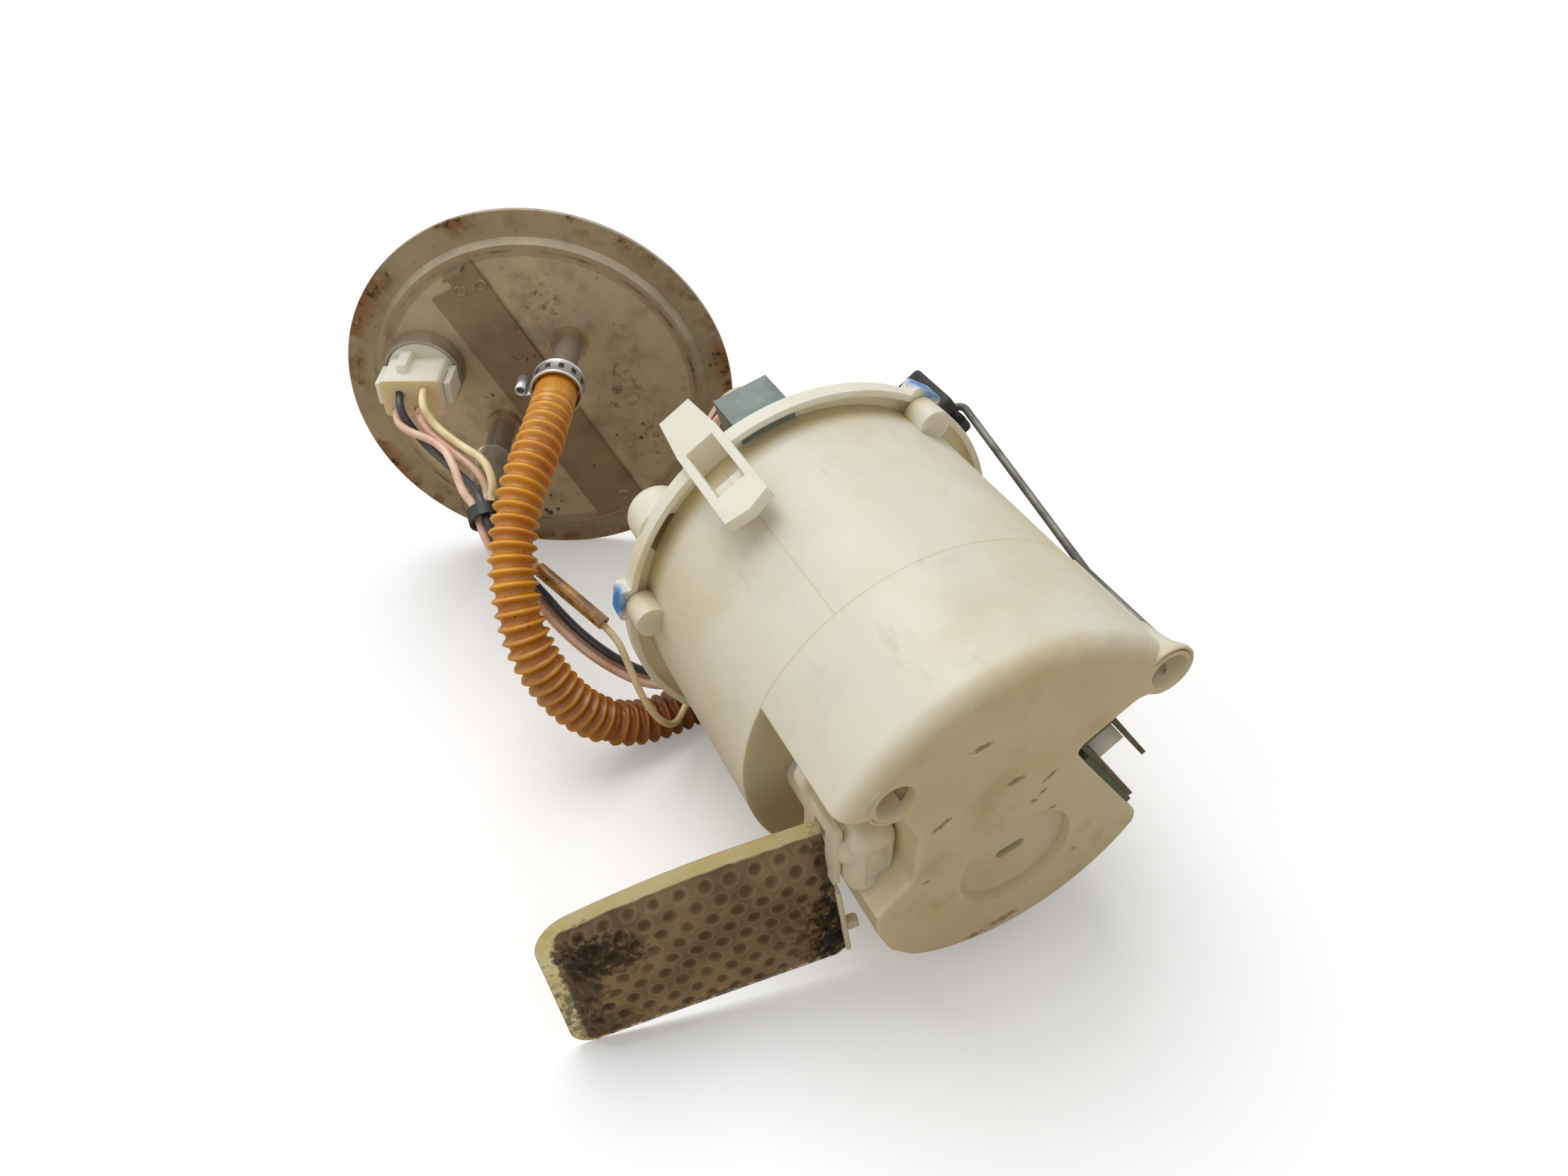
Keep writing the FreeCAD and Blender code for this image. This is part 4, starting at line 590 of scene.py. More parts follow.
pot_ivory, tree, shader, place, base, fine = ivory_plastic("pot_ivory", (232, 226, 208), (214, 196, 148),
                                                           (206, 202, 190))
MARKS = [((-0.0194, 0, 0.0086), (0.8, 0, 0.6), 0.0032, 0.0008),
         ((0.0045, 0, 0.003), (1, 0, 0), 0.0013, 0.0009),
         ((0.0064, 0, 0.005), (0.7, 0, 0.7), 0.0016, 0.0005),
         ((0.0076, 0, 0.010), (0.7, 0, 0.7), 0.0026, 0.0007),
         ((-0.0125, 0, 0.0293), (1, 0, 0.2), 0.0030, 0.0010),
         ((-0.0018, 0, 0.0133), (1, 0, 0), 0.0026, 0.0012),
         ((0.0087, 0, -0.0034), (0.9, 0, 0.4), 0.0030, 0.0010),
         ((0.0206, 0, -0.024), (1, 0, 0), 0.0007, 0.0006),
         ((-0.0216, 0, -0.0106), (1, 0, 0), 0.0012, 0.0007),
         ((0.0033, 0, -0.0415), (1, 0, 0.2), 0.0042, 0.0014),
         ((-0.0049, 0, -0.043), (1, 0, 0.1), 0.0030, 0.0012),
         ((0.0275, 0, 0.0388), (0.9, 0, 0.3), 0.0024, 0.0009)]
for centre, along, length, width in MARKS:
    blot = use(tree, mark, Vector=place, Centre=on_pot(*centre), Along=Vector(along).normalized(),
               Length=length, Width=width, Rough=0.7)
    base = lay(tree, base, blot, 0.9, (40, 30, 20))
SEAM_Y = 0.0362
SEAM_HALF = 0.00022
PARTING_TURN = math.radians(122.8)
PARTING_HALF = 0.0035
RECESS_TOP = 0.0365
RECESS_FLOOR = 0.0012
RECESS_RIGHT = -0.016
parts = add_node(tree, "ShaderNodeSeparateXYZ",
                 Vector=vector_maths(tree, "SUBTRACT", place, pot_origin)).outputs
seam_away = maths(tree, "ABSOLUTE", maths(tree, "SUBTRACT", parts["Y"], SEAM_Y))
seam = maths(tree, "LESS_THAN", seam_away, SEAM_HALF)
turned = maths(tree, "ARCTAN2", parts["Z"], parts["X"])
line_away = maths(tree, "ABSOLUTE", maths(tree, "SUBTRACT", turned, PARTING_TURN))
above_seam = maths(tree, "GREATER_THAN", parts["Y"], SEAM_Y)
parting = maths(tree, "MULTIPLY", maths(tree, "LESS_THAN", line_away, PARTING_HALF), above_seam)
ridge = maths(tree, "MAXIMUM", seam, parting)
base = lay(tree, base, ridge, 0.35, (186, 172, 136))
# Painted shade: the recess below the step, on the left, is laid over with a yellowish tan.
reach = maths(tree, "SQRT", maths(tree, "ADD", maths(tree, "MULTIPLY", parts["X"], parts["X"]),
                                  maths(tree, "MULTIPLY", parts["Z"], parts["Z"])))
below_step = maths(tree, "LESS_THAN", parts["Y"], RECESS_TOP)
behind_floor = maths(tree, "GREATER_THAN", parts["Y"], RECESS_FLOOR)
left_side = maths(tree, "LESS_THAN", parts["X"], RECESS_RIGHT)
recess_shade = maths(tree, "MULTIPLY", maths(tree, "MULTIPLY", below_step, behind_floor),
                 between(tree, reach, 0.0475, 0.036))
recess_shade = maths(tree, "MULTIPLY", recess_shade, left_side)
base = lay(tree, base, recess_shade, 0.45, (222, 192, 128))
# Painted shade: the bottom face and the lowest 6 mm are laid over with a warm tan. Soil patches are kept to the
# same zone.
bottom_shade_and_soil = between(tree, parts["Y"], 0.006, 0.0, soft=True)
base = lay(tree, base, bottom_shade_and_soil, 0.4, (218, 192, 136))
soiled = use(tree, stain, Vector=place, Scale=64.0, Low=0.5, High=0.72)
base = lay(tree, base, maths(tree, "MULTIPLY", soiled, bottom_shade_and_soil), 0.35, (176, 150, 104))
# Painted shade: the pot's top, just under the lid's overhanging skirt, is laid over with a yellowish tan.
base = lay(tree, base, between(tree, parts["Y"], 0.088, 0.094), 0.75, (214, 192, 134))
set_inputs(tree, shader, Base_Color=base)
height = maths(tree, "ADD", maths(tree, "MULTIPLY", fine, 0.18), ridge)
surface(tree, shader, height, 0.00012, 0.6)
shell(nodes["reservoir_pot"], pot_ivory)

# Lid
# A pressed-on lid of the same ivory plastic, paler than the pot, with a latch tongue and two ears. Blue
# paint marks the ears.
lid_ivory, tree, shader, place, base, fine = ivory_plastic("lid_ivory", (244, 239, 222), (228, 210, 164),
                                                           (224, 218, 202))
EAR_REACH = 0.0572
EAR_MIDDLE = 0.096
LATCH_REACH = 0.0551
LATCH_TIP = 0.113
for turn in (math.radians(56.0), math.radians(172.0)):
    ear = on_pot(EAR_REACH * math.cos(turn), EAR_MIDDLE, EAR_REACH * math.sin(turn))
    paint = use(tree, mark, Vector=place, Centre=ear, Length=0.0072, Width=0.0042, Rough=0.16,
                Along=Vector((-math.sin(turn), 0.35, math.cos(turn))).normalized())
    base = blend(tree, paint, base, colour(0, 136, 214))
    pen = use(tree, mark, Vector=place, Centre=ear + Vector((0, 0.0012, 0)),
              Along=Vector((-math.sin(turn), -0.5, math.cos(turn))).normalized(), Length=0.0055,
              Width=0.0005, Rough=0.2)
    base = blend(tree, pen, base, colour(20, 52, 84))
latch_turn = math.radians(123.0)
latch_tip = on_pot(LATCH_REACH * math.cos(latch_turn), LATCH_TIP, LATCH_REACH * math.sin(latch_turn))
stained_tip = use(tree, mark, Vector=place, Centre=latch_tip,
                  Along=Vector((-math.sin(latch_turn), 0, math.cos(latch_turn))), Length=0.0058,
                  Width=0.0016, Rough=0.35)
base = lay(tree, base, stained_tip, 0.8, (62, 48, 32))
set_inputs(tree, shader, Base_Color=base)
surface(tree, shader, fine, IVORY_RELIEF, 0.5)
shell(nodes["lid"], lid_ivory)

# Other moulded parts
# The outlet pipe, the strainer's neck and the fill valve's cage are the same ivory. The plug, its socket
# and the arm's hub are milky white, and the connector on the lid is grey-green. The float is black foam,
# the seals are rubber, and the pump's inner mouldings are dark plastic.
neck_ivory = plain_ivory("neck_ivory", (232, 224, 202), (216, 196, 146), (212, 206, 190))
for name in ("outlet_pipe", "strainer_neck", "fill_valve_cage"):
    shell(nodes[name], neck_ivory)
milky_white = plain_ivory("milky_white", (240, 238, 230), (232, 214, 168), (222, 222, 216))
for name in ("connector_socket", "arm_hub"):
    shell(nodes[name], milky_white)
plug_white, tree, shader, place, base, fine = ivory_plastic("plug_white", (250, 247, 238), (240, 226, 190),
                                                            (232, 230, 222))
flange_middle = on_flange(0, 0, 0)


def from_flange(tree, place):
    """How far a place lies out from the flange, towards the pot."""
    away = vector_maths(tree, "SUBTRACT", place, flange_middle)
    return vector_maths(tree, "DOT_PRODUCT", away, flange_out, "Value")


base = lay(tree, base, between(tree, from_flange(tree, place), 0.0212, 0.0222), 0.7, (240, 212, 148))
set_inputs(tree, shader, Base_Color=base)
surface(tree, shader, fine, IVORY_RELIEF, 0.5)
shell(nodes["harness_plug"], plug_white)


def plain_finish(name, fresh, worn, roughness, metallic, scale=90.0, bump=0.00005, dirt=0.5):
    """A plain moulded or metal finish with cloudy wear, fine dirt and a slight roughness of surface."""
    material, tree, shader = new_material(name)
    place = on_piece(tree)
    clouds = use(tree, stain, Vector=place, Scale=scale, Low=0.38, High=0.68)
    base = blend(tree, clouds, colour(*fresh), colour(*worn))
    base = lay_specks(tree, base, place, (300.0, 0.2, 0.53), dirt, (38, 32, 24))
    set_inputs(tree, shader, Base_Color=base, Metallic=metallic,
               Roughness=between(tree, clouds, least=roughness, most=min(1.0, roughness + 0.18)))
    grain = add_node(tree, "ShaderNodeTexNoise", Vector=place, Scale=scale * 10, Detail=4.0)
    surface(tree, shader, grain.outputs[0], bump, 0.5)
    return material


grey_green = plain_finish("grey_green", (132, 144, 138), (104, 116, 112), 0.42, 0.0)
shell(nodes["lid_connector"], grey_green)
clip_black = plain_finish("clip_black", (34, 34, 36), (22, 22, 24), 0.35, 0.0, bump=0.00003)
shell(nodes["cable_clip"], clip_black)
foam_black = plain_finish("foam_black", (50, 48, 45), (30, 29, 27), 0.62, 0.0, scale=60.0, bump=0.00012,
                          dirt=0.3)
shell(nodes["float"], foam_black)
rubber = plain_finish("rubber_black", (44, 42, 40), (28, 27, 26), 0.7, 0.0)
for name in ("fill_valve_disc", "rubber_isolator", "outlet_seal"):
    shell(nodes[name], rubber)
card_green = plain_finish("card_green", (70, 92, 74), (52, 70, 58), 0.4, 0.0)
shell(nodes["resistor_card"], card_green)
pump_dark = plain_finish("pump_plastic", (96, 88, 72), (72, 66, 56), 0.55, 0.0)
for name in ("pump_inlet_cover", "impeller", "pump_port_plate", "pump_outlet_cover", "check_valve_poppet"):
    shell(nodes[name], pump_dark)
carbon = plain_finish("brush_carbon", (46, 46, 48), (30, 30, 32), 0.6, 0.1)
shell(nodes["brushes"], carbon)

# Feet, eyelet and strainer neck
# Small mouldings of the same ivory plastic on the pot and the neck: the flared mouths of the two feet, a
# round eyelet in the recess, and the neck's rounded box with its pressed-in panel.
upright = Matrix.Rotation(math.radians(-90), 4, "X")


def turned_ring(seat, profile, segments=40):
    """A closed ring turned about a matrix's third axis, through (height, radius) points in order."""
    bm = bmesh.new()
    rings = [(seat @ Matrix.Translation((0, 0, height)), radius, 0.0, 0.0) for height, radius in profile]
    sweep(bm, rings, segments)
    return bm


for name, x, z in (("foot_mouth_left", -0.0316, 0.0227), ("foot_mouth_right", 0.0345, 0.0296)):
    mouth = link_mesh(name, turned_ring(Matrix.Translation(on_pot(x, 0, z)) @ upright, (
        (0.0002, 0.0060), (0.0, 0.0063), (0.0003, 0.0066), (0.0012, 0.0066), (0.0026, 0.0059),
        (0.0045, 0.0051), (0.0075, 0.0045), (0.0120, 0.0041), (0.0120, 0.0034), (0.0070, 0.0034),
        (0.0040, 0.0041), (0.0018, 0.0051), (0.0008, 0.0057))))
    mouth.data.materials.append(pot_ivory)
    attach(mouth, "module")

eyelet_seat = Matrix.Translation(on_pot(-0.0372, 0.0185, 0.0128)) @ upright
eyelet = link_mesh("recess_eyelet", turned_ring(eyelet_seat, (
    (0.0, 0.0030), (-0.0003, 0.0036), (-0.0003, 0.0050), (0.0004, 0.0056), (0.0036, 0.0056), (0.0042, 0.0050),
    (0.0042, 0.0032), (0.0020, 0.0028))))
eyelet.data.materials.append(neck_ivory)
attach(eyelet, "module")


def soft_block(bm, low, high, radius, segments=3):
    """A box between two corners with its edges rounded."""
    verts = bmesh.ops.create_cube(bm, size=1.0)["verts"]
    bmesh.ops.scale(bm, vec=high - low, verts=verts)
    bmesh.ops.translate(bm, vec=(low + high) / 2, verts=verts)
    edges = list({e for v in verts for e in v.link_edges})
    bmesh.ops.bevel(bm, geom=edges, offset=radius, offset_type="OFFSET", affect="EDGES", segments=segments,
                    profile=0.5, material=-1)


bm = bmesh.new()
soft_block(bm, on_pot(-0.0335, 0.0182, 0.0150), on_pot(-0.0245, 0.0222, 0.0200), 0.0012)
eyelet_arm = link_mesh("recess_eyelet_arm", bm)
eyelet_arm.data.materials.append(neck_ivory)
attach(eyelet_arm, "module")

neck_low, neck_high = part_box("strainer_neck")
nose = Vector((neck_high.x - 0.0063, neck_low.y + 0.0063, neck_high.z - 0.0073))
bm = bmesh.new()
soft_block(bm, Vector((nose.x - 0.0045, neck_low.y - 0.0003, nose.z - 0.0125)),
           Vector((nose.x + 0.0070, neck_low.y + 0.0150, nose.z + 0.0074)), 0.0040, 6)
panels = [f for f in bm.faces if f.normal.y < -0.99 and f.calc_area() > 1e-5]
bmesh.ops.inset_region(bm, faces=panels, thickness=0.0007, use_even_offset=True)
bmesh.ops.translate(bm, vec=(0, 0.0012, 0), verts=list({v for f in panels for v in f.verts}))
neck_box = link_mesh("strainer_neck_box", bm)
neck_box.data.materials.append(neck_ivory)
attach(neck_box, "module")

# Hose clamp
# A crimped steel band round the hose's cuff, with rolled edges, a row of small rectangular slots and an ear
# that is curled over at the left. The slots are thin dark blocks on the band's face, as painted shade.
flange_turn = Matrix((flange_across, Vector((0, 0, 1)), flange_out)).transposed().to_4x4()
flange_frame = Matrix.Translation(flange_middle) @ flange_turn
clamp_frame = flange_frame @ Matrix.Translation((0.0111, 0.0195, 0))
bm = turned_ring(clamp_frame, (
    (0.0250, 0.0068), (0.0250, 0.00745), (0.0251, 0.00765), (0.0254, 0.0078), (0.0257, 0.00765),
    (0.0260, 0.00755), (0.0310, 0.00755), (0.0313, 0.00765), (0.0316, 0.0078), (0.0319, 0.00765),
    (0.0320, 0.00745), (0.0320, 0.0068)), 64)
curl = Matrix.Translation((-0.0104, 0.0006, 0))
sweep(bm, [(clamp_frame @ curl @ Matrix.Translation((0, 0, height)), radius, 0.0, 0.0) for height, radius in (
    (0.0254, 0.0011), (0.0252, 0.0014), (0.0254, 0.0017), (0.0316, 0.0017), (0.0318, 0.0014),
    (0.0316, 0.0011))], 24)
strap_verts = set(bm.verts)
soft_block(bm, Vector((-0.0104, -0.0013, 0.0255)), Vector((-0.0070, -0.0005, 0.0315)), 0.0003, 2)
bmesh.ops.transform(bm, matrix=clamp_frame, verts=[v for v in bm.verts if v not in strap_verts])
clamp = link_mesh("clamp_band", bm)
# Painted shade: each slot is a thin dark block set on the band's face.
bm = bmesh.new()
for i in range(12):
    before_slot = set(bm.verts)
    soft_block(bm, Vector((0.0073, -0.0008, 0.0273)), Vector((0.00762, 0.0008, 0.0297)), 0.0001, 2)
    bmesh.ops.transform(bm, matrix=clamp_frame @ Matrix.Rotation(math.radians(15 + 30 * i), 4, "Z"),
                        verts=[v for v in bm.verts if v not in before_slot])
clamp_slot_shades = link_mesh("clamp_slot_shades", bm, smooth=False)

# Dents in the strip
# Two punched dents near the strip's upper end and one at its lower end, each with a raised rim.
strip = nodes["reinforcement_strip"]
strip_places = [strip.matrix_world @ v.co - flange_middle for v in strip.data.vertices]
strip_top = max(place.dot(flange_out) for place in strip_places if place.z < 0)
strip_dents = []
for name, x, y in (("strip_dent_left", -0.0191, 0.0373), ("strip_dent_right", -0.0128, 0.0392),
                   ("strip_dent_low", 0.0226, -0.0386)):
    dent = link_mesh(name, turned_ring(flange_frame @ Matrix.Translation((x, y, strip_top)), (
        (-0.0003, 0.0010), (0.0001, 0.0012), (0.0003, 0.0015), (0.0001, 0.0019), (-0.0003, 0.0021)), 24))
    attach(dent, "module")
    strip_dents.append(dent)

# Metal parts
# The clamp, the pump's can and the springs are bright steel, and the arm is dull grey wire. The sender's
# bracket and the contacts are tinned steel gone dull. The flange, its pipes and the ferrule are stained
# stainless steel with rust at the edges.
clamp_steel = plain_finish("clamp_steel", (222, 224, 226), (176, 178, 182), 0.24, 0.9, bump=0.00006)
clamp.data.materials.append(clamp_steel)
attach(clamp, "module")
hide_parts("hose_clamp")
# The slots' painted shade: a dark, dull metal.
slot_shade = plain_finish("slot_shade", (60, 58, 56), (40, 38, 36), 0.5, 0.6)
clamp_slot_shades.data.materials.append(slot_shade)
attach(clamp_slot_shades, "module")
bright_steel = plain_finish("bright_steel", (176, 178, 178), (140, 142, 142), 0.3, 1.0, bump=0.00003)
for name in ("pump_can", "rotor_shaft", "hose_clamp", "brush_springs", "check_valve_spring"):
    shell(nodes[name], bright_steel)
grey_wire = plain_finish("grey_wire", (126, 124, 116), (92, 90, 84), 0.48, 0.6, bump=0.00003)
shell(nodes["float_arm"], grey_wire)
dull_tin = plain_finish("dull_tin", (120, 112, 100), (84, 76, 66), 0.42, 0.9)
for name in ("sender_bracket", "sender_bolt", "lid_contacts", "connector_pins"):
    shell(nodes[name], dull_tin)
iron = plain_finish("core_iron", (96, 96, 98), (72, 72, 76), 0.5, 0.8)
for name in ("armature_core", "magnets"):
    shell(nodes[name], iron)
copper = plain_finish("copper", (196, 120, 74), (160, 92, 56), 0.35, 1.0)
for name in ("armature_windings", "commutator"):
    shell(nodes[name], copper)


def stained_steel(name, fresh, dull, rust, rust_low, rust_high, metallic):
    """Steel that has stood in fuel: clouded grey-brown, with brown stains, dark pits and dark smudges."""
    material, tree, shader = new_material(name)
    place = on_piece(tree)
    clouds = use(tree, stain, Vector=place, Scale=32.0, Low=0.35, High=0.7)
    base = blend(tree, clouds, colour(*fresh), colour(*dull))
    base = lay_clouds(tree, base, place, (90.0, 0.48, 0.72), 0.4, (112, 98, 78))
    browned = use(tree, stain, Vector=place, Scale=48.0, Low=rust_low, High=rust_high)
    base = blend(tree, browned, base, colour(*rust))
    base = lay_specks(tree, base, place, (260.0, 0.26, 0.5), 0.85, (48, 38, 26))
    base = lay_clouds(tree, base, place, (240.0, 0.6, 0.76), 0.45, (72, 60, 44))
    set_inputs(tree, shader, Roughness=between(tree, clouds, least=0.36, most=0.62), Metallic=metallic)
    return material, tree, shader, place, base


def with_grain(tree, shader, place, base, scale):
    """Lays the last colour on a stained steel, with a fine grain."""
    grain = add_node(tree, "ShaderNodeTexNoise", Vector=place, Scale=scale, Detail=4.0)
    surface(tree, shader, grain.outputs[0], 0.00008, 0.5)
    set_inputs(tree, shader, Base_Color=base)


flange_steel, tree, shader, place, base = stained_steel("flange_steel", (204, 192, 166), (180, 167, 140),
                                                        (140, 104, 62), 0.66, 0.8, 0.55)
RAISED_EDGE_R = 0.0478
GROOVE_R = 0.0496
GROOVE_HALF = 0.0005
far_out = vector_maths(tree, "DISTANCE", place, flange_middle, "Value")
outer_band = maths(tree, "GREATER_THAN", far_out, RAISED_EDGE_R)
base = lay(tree, base, outer_band, 0.4, (126, 110, 86))
patchy = use(tree, stain, Vector=place, Scale=70.0, Low=0.47, High=0.58)
rusty_rim = maths(tree, "MULTIPLY", between(tree, far_out, 0.0545, 0.059), patchy)
base = lay(tree, base, rusty_rim, 0.8, (140, 96, 50))
black_spots = use(tree, stain, Vector=place, Scale=300.0, Low=0.54, High=0.64)
base = lay(tree, base, maths(tree, "MULTIPLY", rusty_rim, black_spots), 0.85, (44, 30, 16))
groove = maths(tree, "ABSOLUTE", maths(tree, "SUBTRACT", far_out, GROOVE_R))
groove = maths(tree, "LESS_THAN", groove, GROOVE_HALF)
groove_worn = use(tree, stain, Vector=place, Scale=60.0, Low=0.4, High=0.7)
base = lay(tree, base, maths(tree, "MULTIPLY", groove, groove_worn), 0.7, (56, 44, 30))
for dirty_at, dirty_r in ((on_flange(0.006, 0.034, 0.0012), 0.010), (on_flange(0.026, 0.004, 0.0012), 0.012),
                          (on_flange(0.036, -0.017, 0.0012), 0.012),
                          (on_flange(-0.034, -0.02, 0.0012), 0.009)):
    dirty = use(tree, mark, Vector=place, Centre=dirty_at, Along=(0.6, 0.2, 0.77), Length=dirty_r,
                Width=dirty_r * 0.7, Rough=0.5)
    broken = use(tree, stain, Vector=place, Scale=420.0, Low=0.5, High=0.66)
    base = lay(tree, base, maths(tree, "MULTIPLY", dirty, broken), 0.6, (66, 52, 34))
set_inputs(tree, shader, Base_Color=base)
scratch_way = add_node(tree, "ShaderNodeMapping", Vector=place, Scale=(1.0, 1.0, 0.12),
                       Rotation=(0.4, 0.9, 0.2))
scratches = add_node(tree, "ShaderNodeTexNoise", Vector=scratch_way.outputs[0], Scale=900.0, Detail=3.0)
surface(tree, shader, scratches.outputs[0], 0.00012, 0.5)
shell(nodes["flange_plate"], flange_steel)
strip_steel, tree, shader, place, base = stained_steel("strip_steel", (158, 142, 118), (136, 120, 98),
                                                       (120, 90, 58), 0.7, 0.84, 0.6)
with_grain(tree, shader, place, base, 800.0)
shell(nodes["reinforcement_strip"], strip_steel)
for dent in strip_dents:
    dent.data.materials.append(strip_steel)
pipe_steel, tree, shader, place, base = stained_steel("pipe_steel", (178, 168, 156), (128, 118, 110),
                                                      (172, 122, 76), 0.62, 0.76, 0.85)
from_plate = from_flange(tree, place)
rusted = use(tree, stain, Vector=place, Scale=160.0, Low=0.3, High=0.6)
rusted = maths(tree, "MULTIPLY", rusted, maths(tree, "GREATER_THAN", from_plate, -0.003))
collar = between(tree, from_plate, 0.0062, 0.0042)
base = lay(tree, base, maths(tree, "MULTIPLY", collar, rusted), 0.6, (188, 146, 100))
with_grain(tree, shader, place, base, 900.0)
for name in ("supply_pipe", "return_pipe", "connector_ferrule"):
    shell(nodes[name], pipe_steel)

# Return sleeve
# A short clear plastic tube pushed over the end of the return pipe, slightly yellowed.
clear_plastic, tree, shader = new_material("clear_sleeve")
place = on_piece(tree)
hazy = use(tree, stain, Vector=place, Scale=150.0, Low=0.4, High=0.7)
base = blend(tree, hazy, colour(248, 244, 232), colour(232, 220, 190))
set_inputs(tree, shader, Base_Color=base, Transmission_Weight=0.92, Roughness=0.08, IOR=1.45)
shell(nodes["return_sleeve"], clear_plastic)

# Strainer sock
# A pad of brown filter felt, welded along a flat pale border. Rows of small weld dimples hold its layers
# together, and old fuel has stained it nearly black in places.
SOCK_LENGTH = 0.067
SOCK_WIDTH = 0.0475
SOCK_THICK = 0.0090
SOCK_EDGE = 0.0008
TOP_BORDER = 0.0050
LOW_BORDER = 0.0014
END_BORDER = 0.0036
SHOULDER = 0.009
NECK_SHOULDER = 0.006
NECK_CORNER = 0.0025
LOW_CORNER = 0.006
TOP_CORNER = 0.009
SOCK_BOW = 0.0055
BOW_STARTS = 0.25
ACROSS = 210
ALONG = 150
DIMPLE_STEP = 0.0058
DIMPLE_ROW = 0.0043
DIMPLE_R = 0.0022
DIMPLE_DEEP = 0.00105


def pillow(u, v):
    """Half the pad's thickness at a place on it and how far a dimple presses it in, from 0 to 1."""
    from_side = min(SOCK_WIDTH / 2 - v - TOP_BORDER, v + SOCK_WIDTH / 2 - LOW_BORDER,
                    u + SOCK_LENGTH / 2 - END_BORDER)
    from_neck = SOCK_LENGTH / 2 - u
    rise = min(max(from_side / SHOULDER, 0.0), 1.0)
    near_neck = min(max(from_neck / NECK_SHOULDER, 0.0), 1.0)
    crown = math.sin(rise * math.pi / 2) ** 0.7 * (0.8 + 0.2 * near_neck)
    half = SOCK_EDGE + (SOCK_THICK / 2 - SOCK_EDGE) * crown
    bent_u = u + 0.0006 * math.sin(v * 160)
    bent_v = v + 0.0005 * math.sin(u * 140)
    row = round(bent_v / DIMPLE_ROW)
    shift = DIMPLE_STEP / 2 if row % 2 else 0.0
    column = round((bent_u - shift) / DIMPLE_STEP)
    away = math.hypot(bent_u - shift - column * DIMPLE_STEP, bent_v - row * DIMPLE_ROW)
    pressed = max(0.0, 1 - away / DIMPLE_R)
    swell = math.exp(-((away - 0.0021) / 0.0006) ** 2)
    wave = 0.00022 * math.sin(u * 310 + v * 120) + 0.00018 * math.sin(v * 420 - u * 90)
    inner = min(1.0, rise * 4.0)
    return half + inner * (0.00012 * swell - DIMPLE_DEEP * pressed ** 1.2) + wave * rise, pressed * inner


def on_rounded_side(u, v):
    """Draws a point of the pad's square outline in to its rounded corner."""
    corner = (TOP_CORNER if v > 0 else LOW_CORNER) if u < 0 else NECK_CORNER
    inner_u = SOCK_LENGTH / 2 - corner
    inner_v = SOCK_WIDTH / 2 - corner
    over_u = abs(u) - inner_u
    over_v = abs(v) - inner_v
    if over_u <= 0 or over_v <= 0:
        return u, v
    shrink = max(over_u, over_v) / math.hypot(over_u, over_v)
    return math.copysign(inner_u + over_u * shrink, u), math.copysign(inner_v + over_v * shrink, v)


bm = bmesh.new()
bmesh.ops.create_grid(bm, x_segments=ACROSS, y_segments=ALONG, size=0.5)
faces = list(bm.faces)
bmesh.ops.reverse_faces(bm, faces=faces)
skin = bmesh.ops.duplicate(bm, geom=list(bm.verts) + list(bm.edges) + faces)["geom"]
back = {g for g in skin if isinstance(g, bmesh.types.BMVert)}
bmesh.ops.reverse_faces(bm, faces=[g for g in skin if isinstance(g, bmesh.types.BMFace)])
dents = bm.verts.layers.float.new("pressed")
for vert in bm.verts:
    side = -1 if vert in back else 1
    u = vert.co.x * SOCK_LENGTH
    v = vert.co.y * SOCK_WIDTH
    half, vert[dents] = pillow(u, v)
    placed_u, placed_v = on_rounded_side(u, v)
    vert.co = (placed_u, -side * half, placed_v)
bmesh.ops.bridge_loops(bm, edges=[e for e in bm.edges if e.is_boundary])
bmesh.ops.recalc_face_normals(bm, faces=bm.faces)
sock_turn = (Matrix.Rotation(math.radians(-8.7), 4, "Z") @ Matrix.Rotation(math.radians(-6.8), 4, "Y")
             @ Matrix.Rotation(math.radians(-7.5), 4, "X"))
local = bm.verts.layers.float_vector.new("pad_place")
for vert in bm.verts:
    vert[local] = vert.co
    bowed = max(0.0, BOW_STARTS - (vert.co.x / SOCK_LENGTH)) / (BOW_STARTS + 0.5)
    vert.co.z -= SOCK_BOW * bowed ** 2 * (vert.co.z / SOCK_WIDTH + 0.5)
bmesh.ops.transform(bm, matrix=sock_turn, verts=bm.verts)
lowest = min(v.co.z for v in bm.verts)
lean = on_pot(-0.0685, 0.0215, 0)
bmesh.ops.translate(bm, vec=(lean.x, lean.y, -lowest), verts=bm.verts)
sock = link_mesh("sock_felt", bm)
sock_place = Matrix.Translation((lean.x, lean.y, -lowest)) @ sock_turn
bm = bmesh.new()
sock_end = Matrix.Translation((SOCK_LENGTH / 2, 0, 0))
soft_block(bm, Vector((-0.0002, -0.0048, -0.0185)), Vector((0.0011, 0.0022, 0.0020)), 0.0005)
soft_block(bm, Vector((0.0008, -0.0030, -0.0140)), Vector((0.0044, 0.0000, -0.0112)), 0.0008)
bmesh.ops.transform(bm, matrix=sock_place @ sock_end, verts=bm.verts)
end_plate = link_mesh("sock_end_plate", bm)
end_plate.data.materials.append(neck_ivory)
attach(end_plate, "module")
felt, tree, shader = new_material("brown_felt")
pad = kept_on(tree, "pad_place", "Vector")
pad_parts = add_node(tree, "ShaderNodeSeparateXYZ", Vector=pad).outputs
clouds = use(tree, stain, Vector=pad, Scale=70.0, Low=0.35, High=0.68)
base = blend(tree, clouds, colour(186, 162, 128), colour(138, 116, 88))
fibre = add_node(tree, "ShaderNodeTexNoise", Vector=pad, Scale=900.0, Detail=5.0, Roughness=0.7)
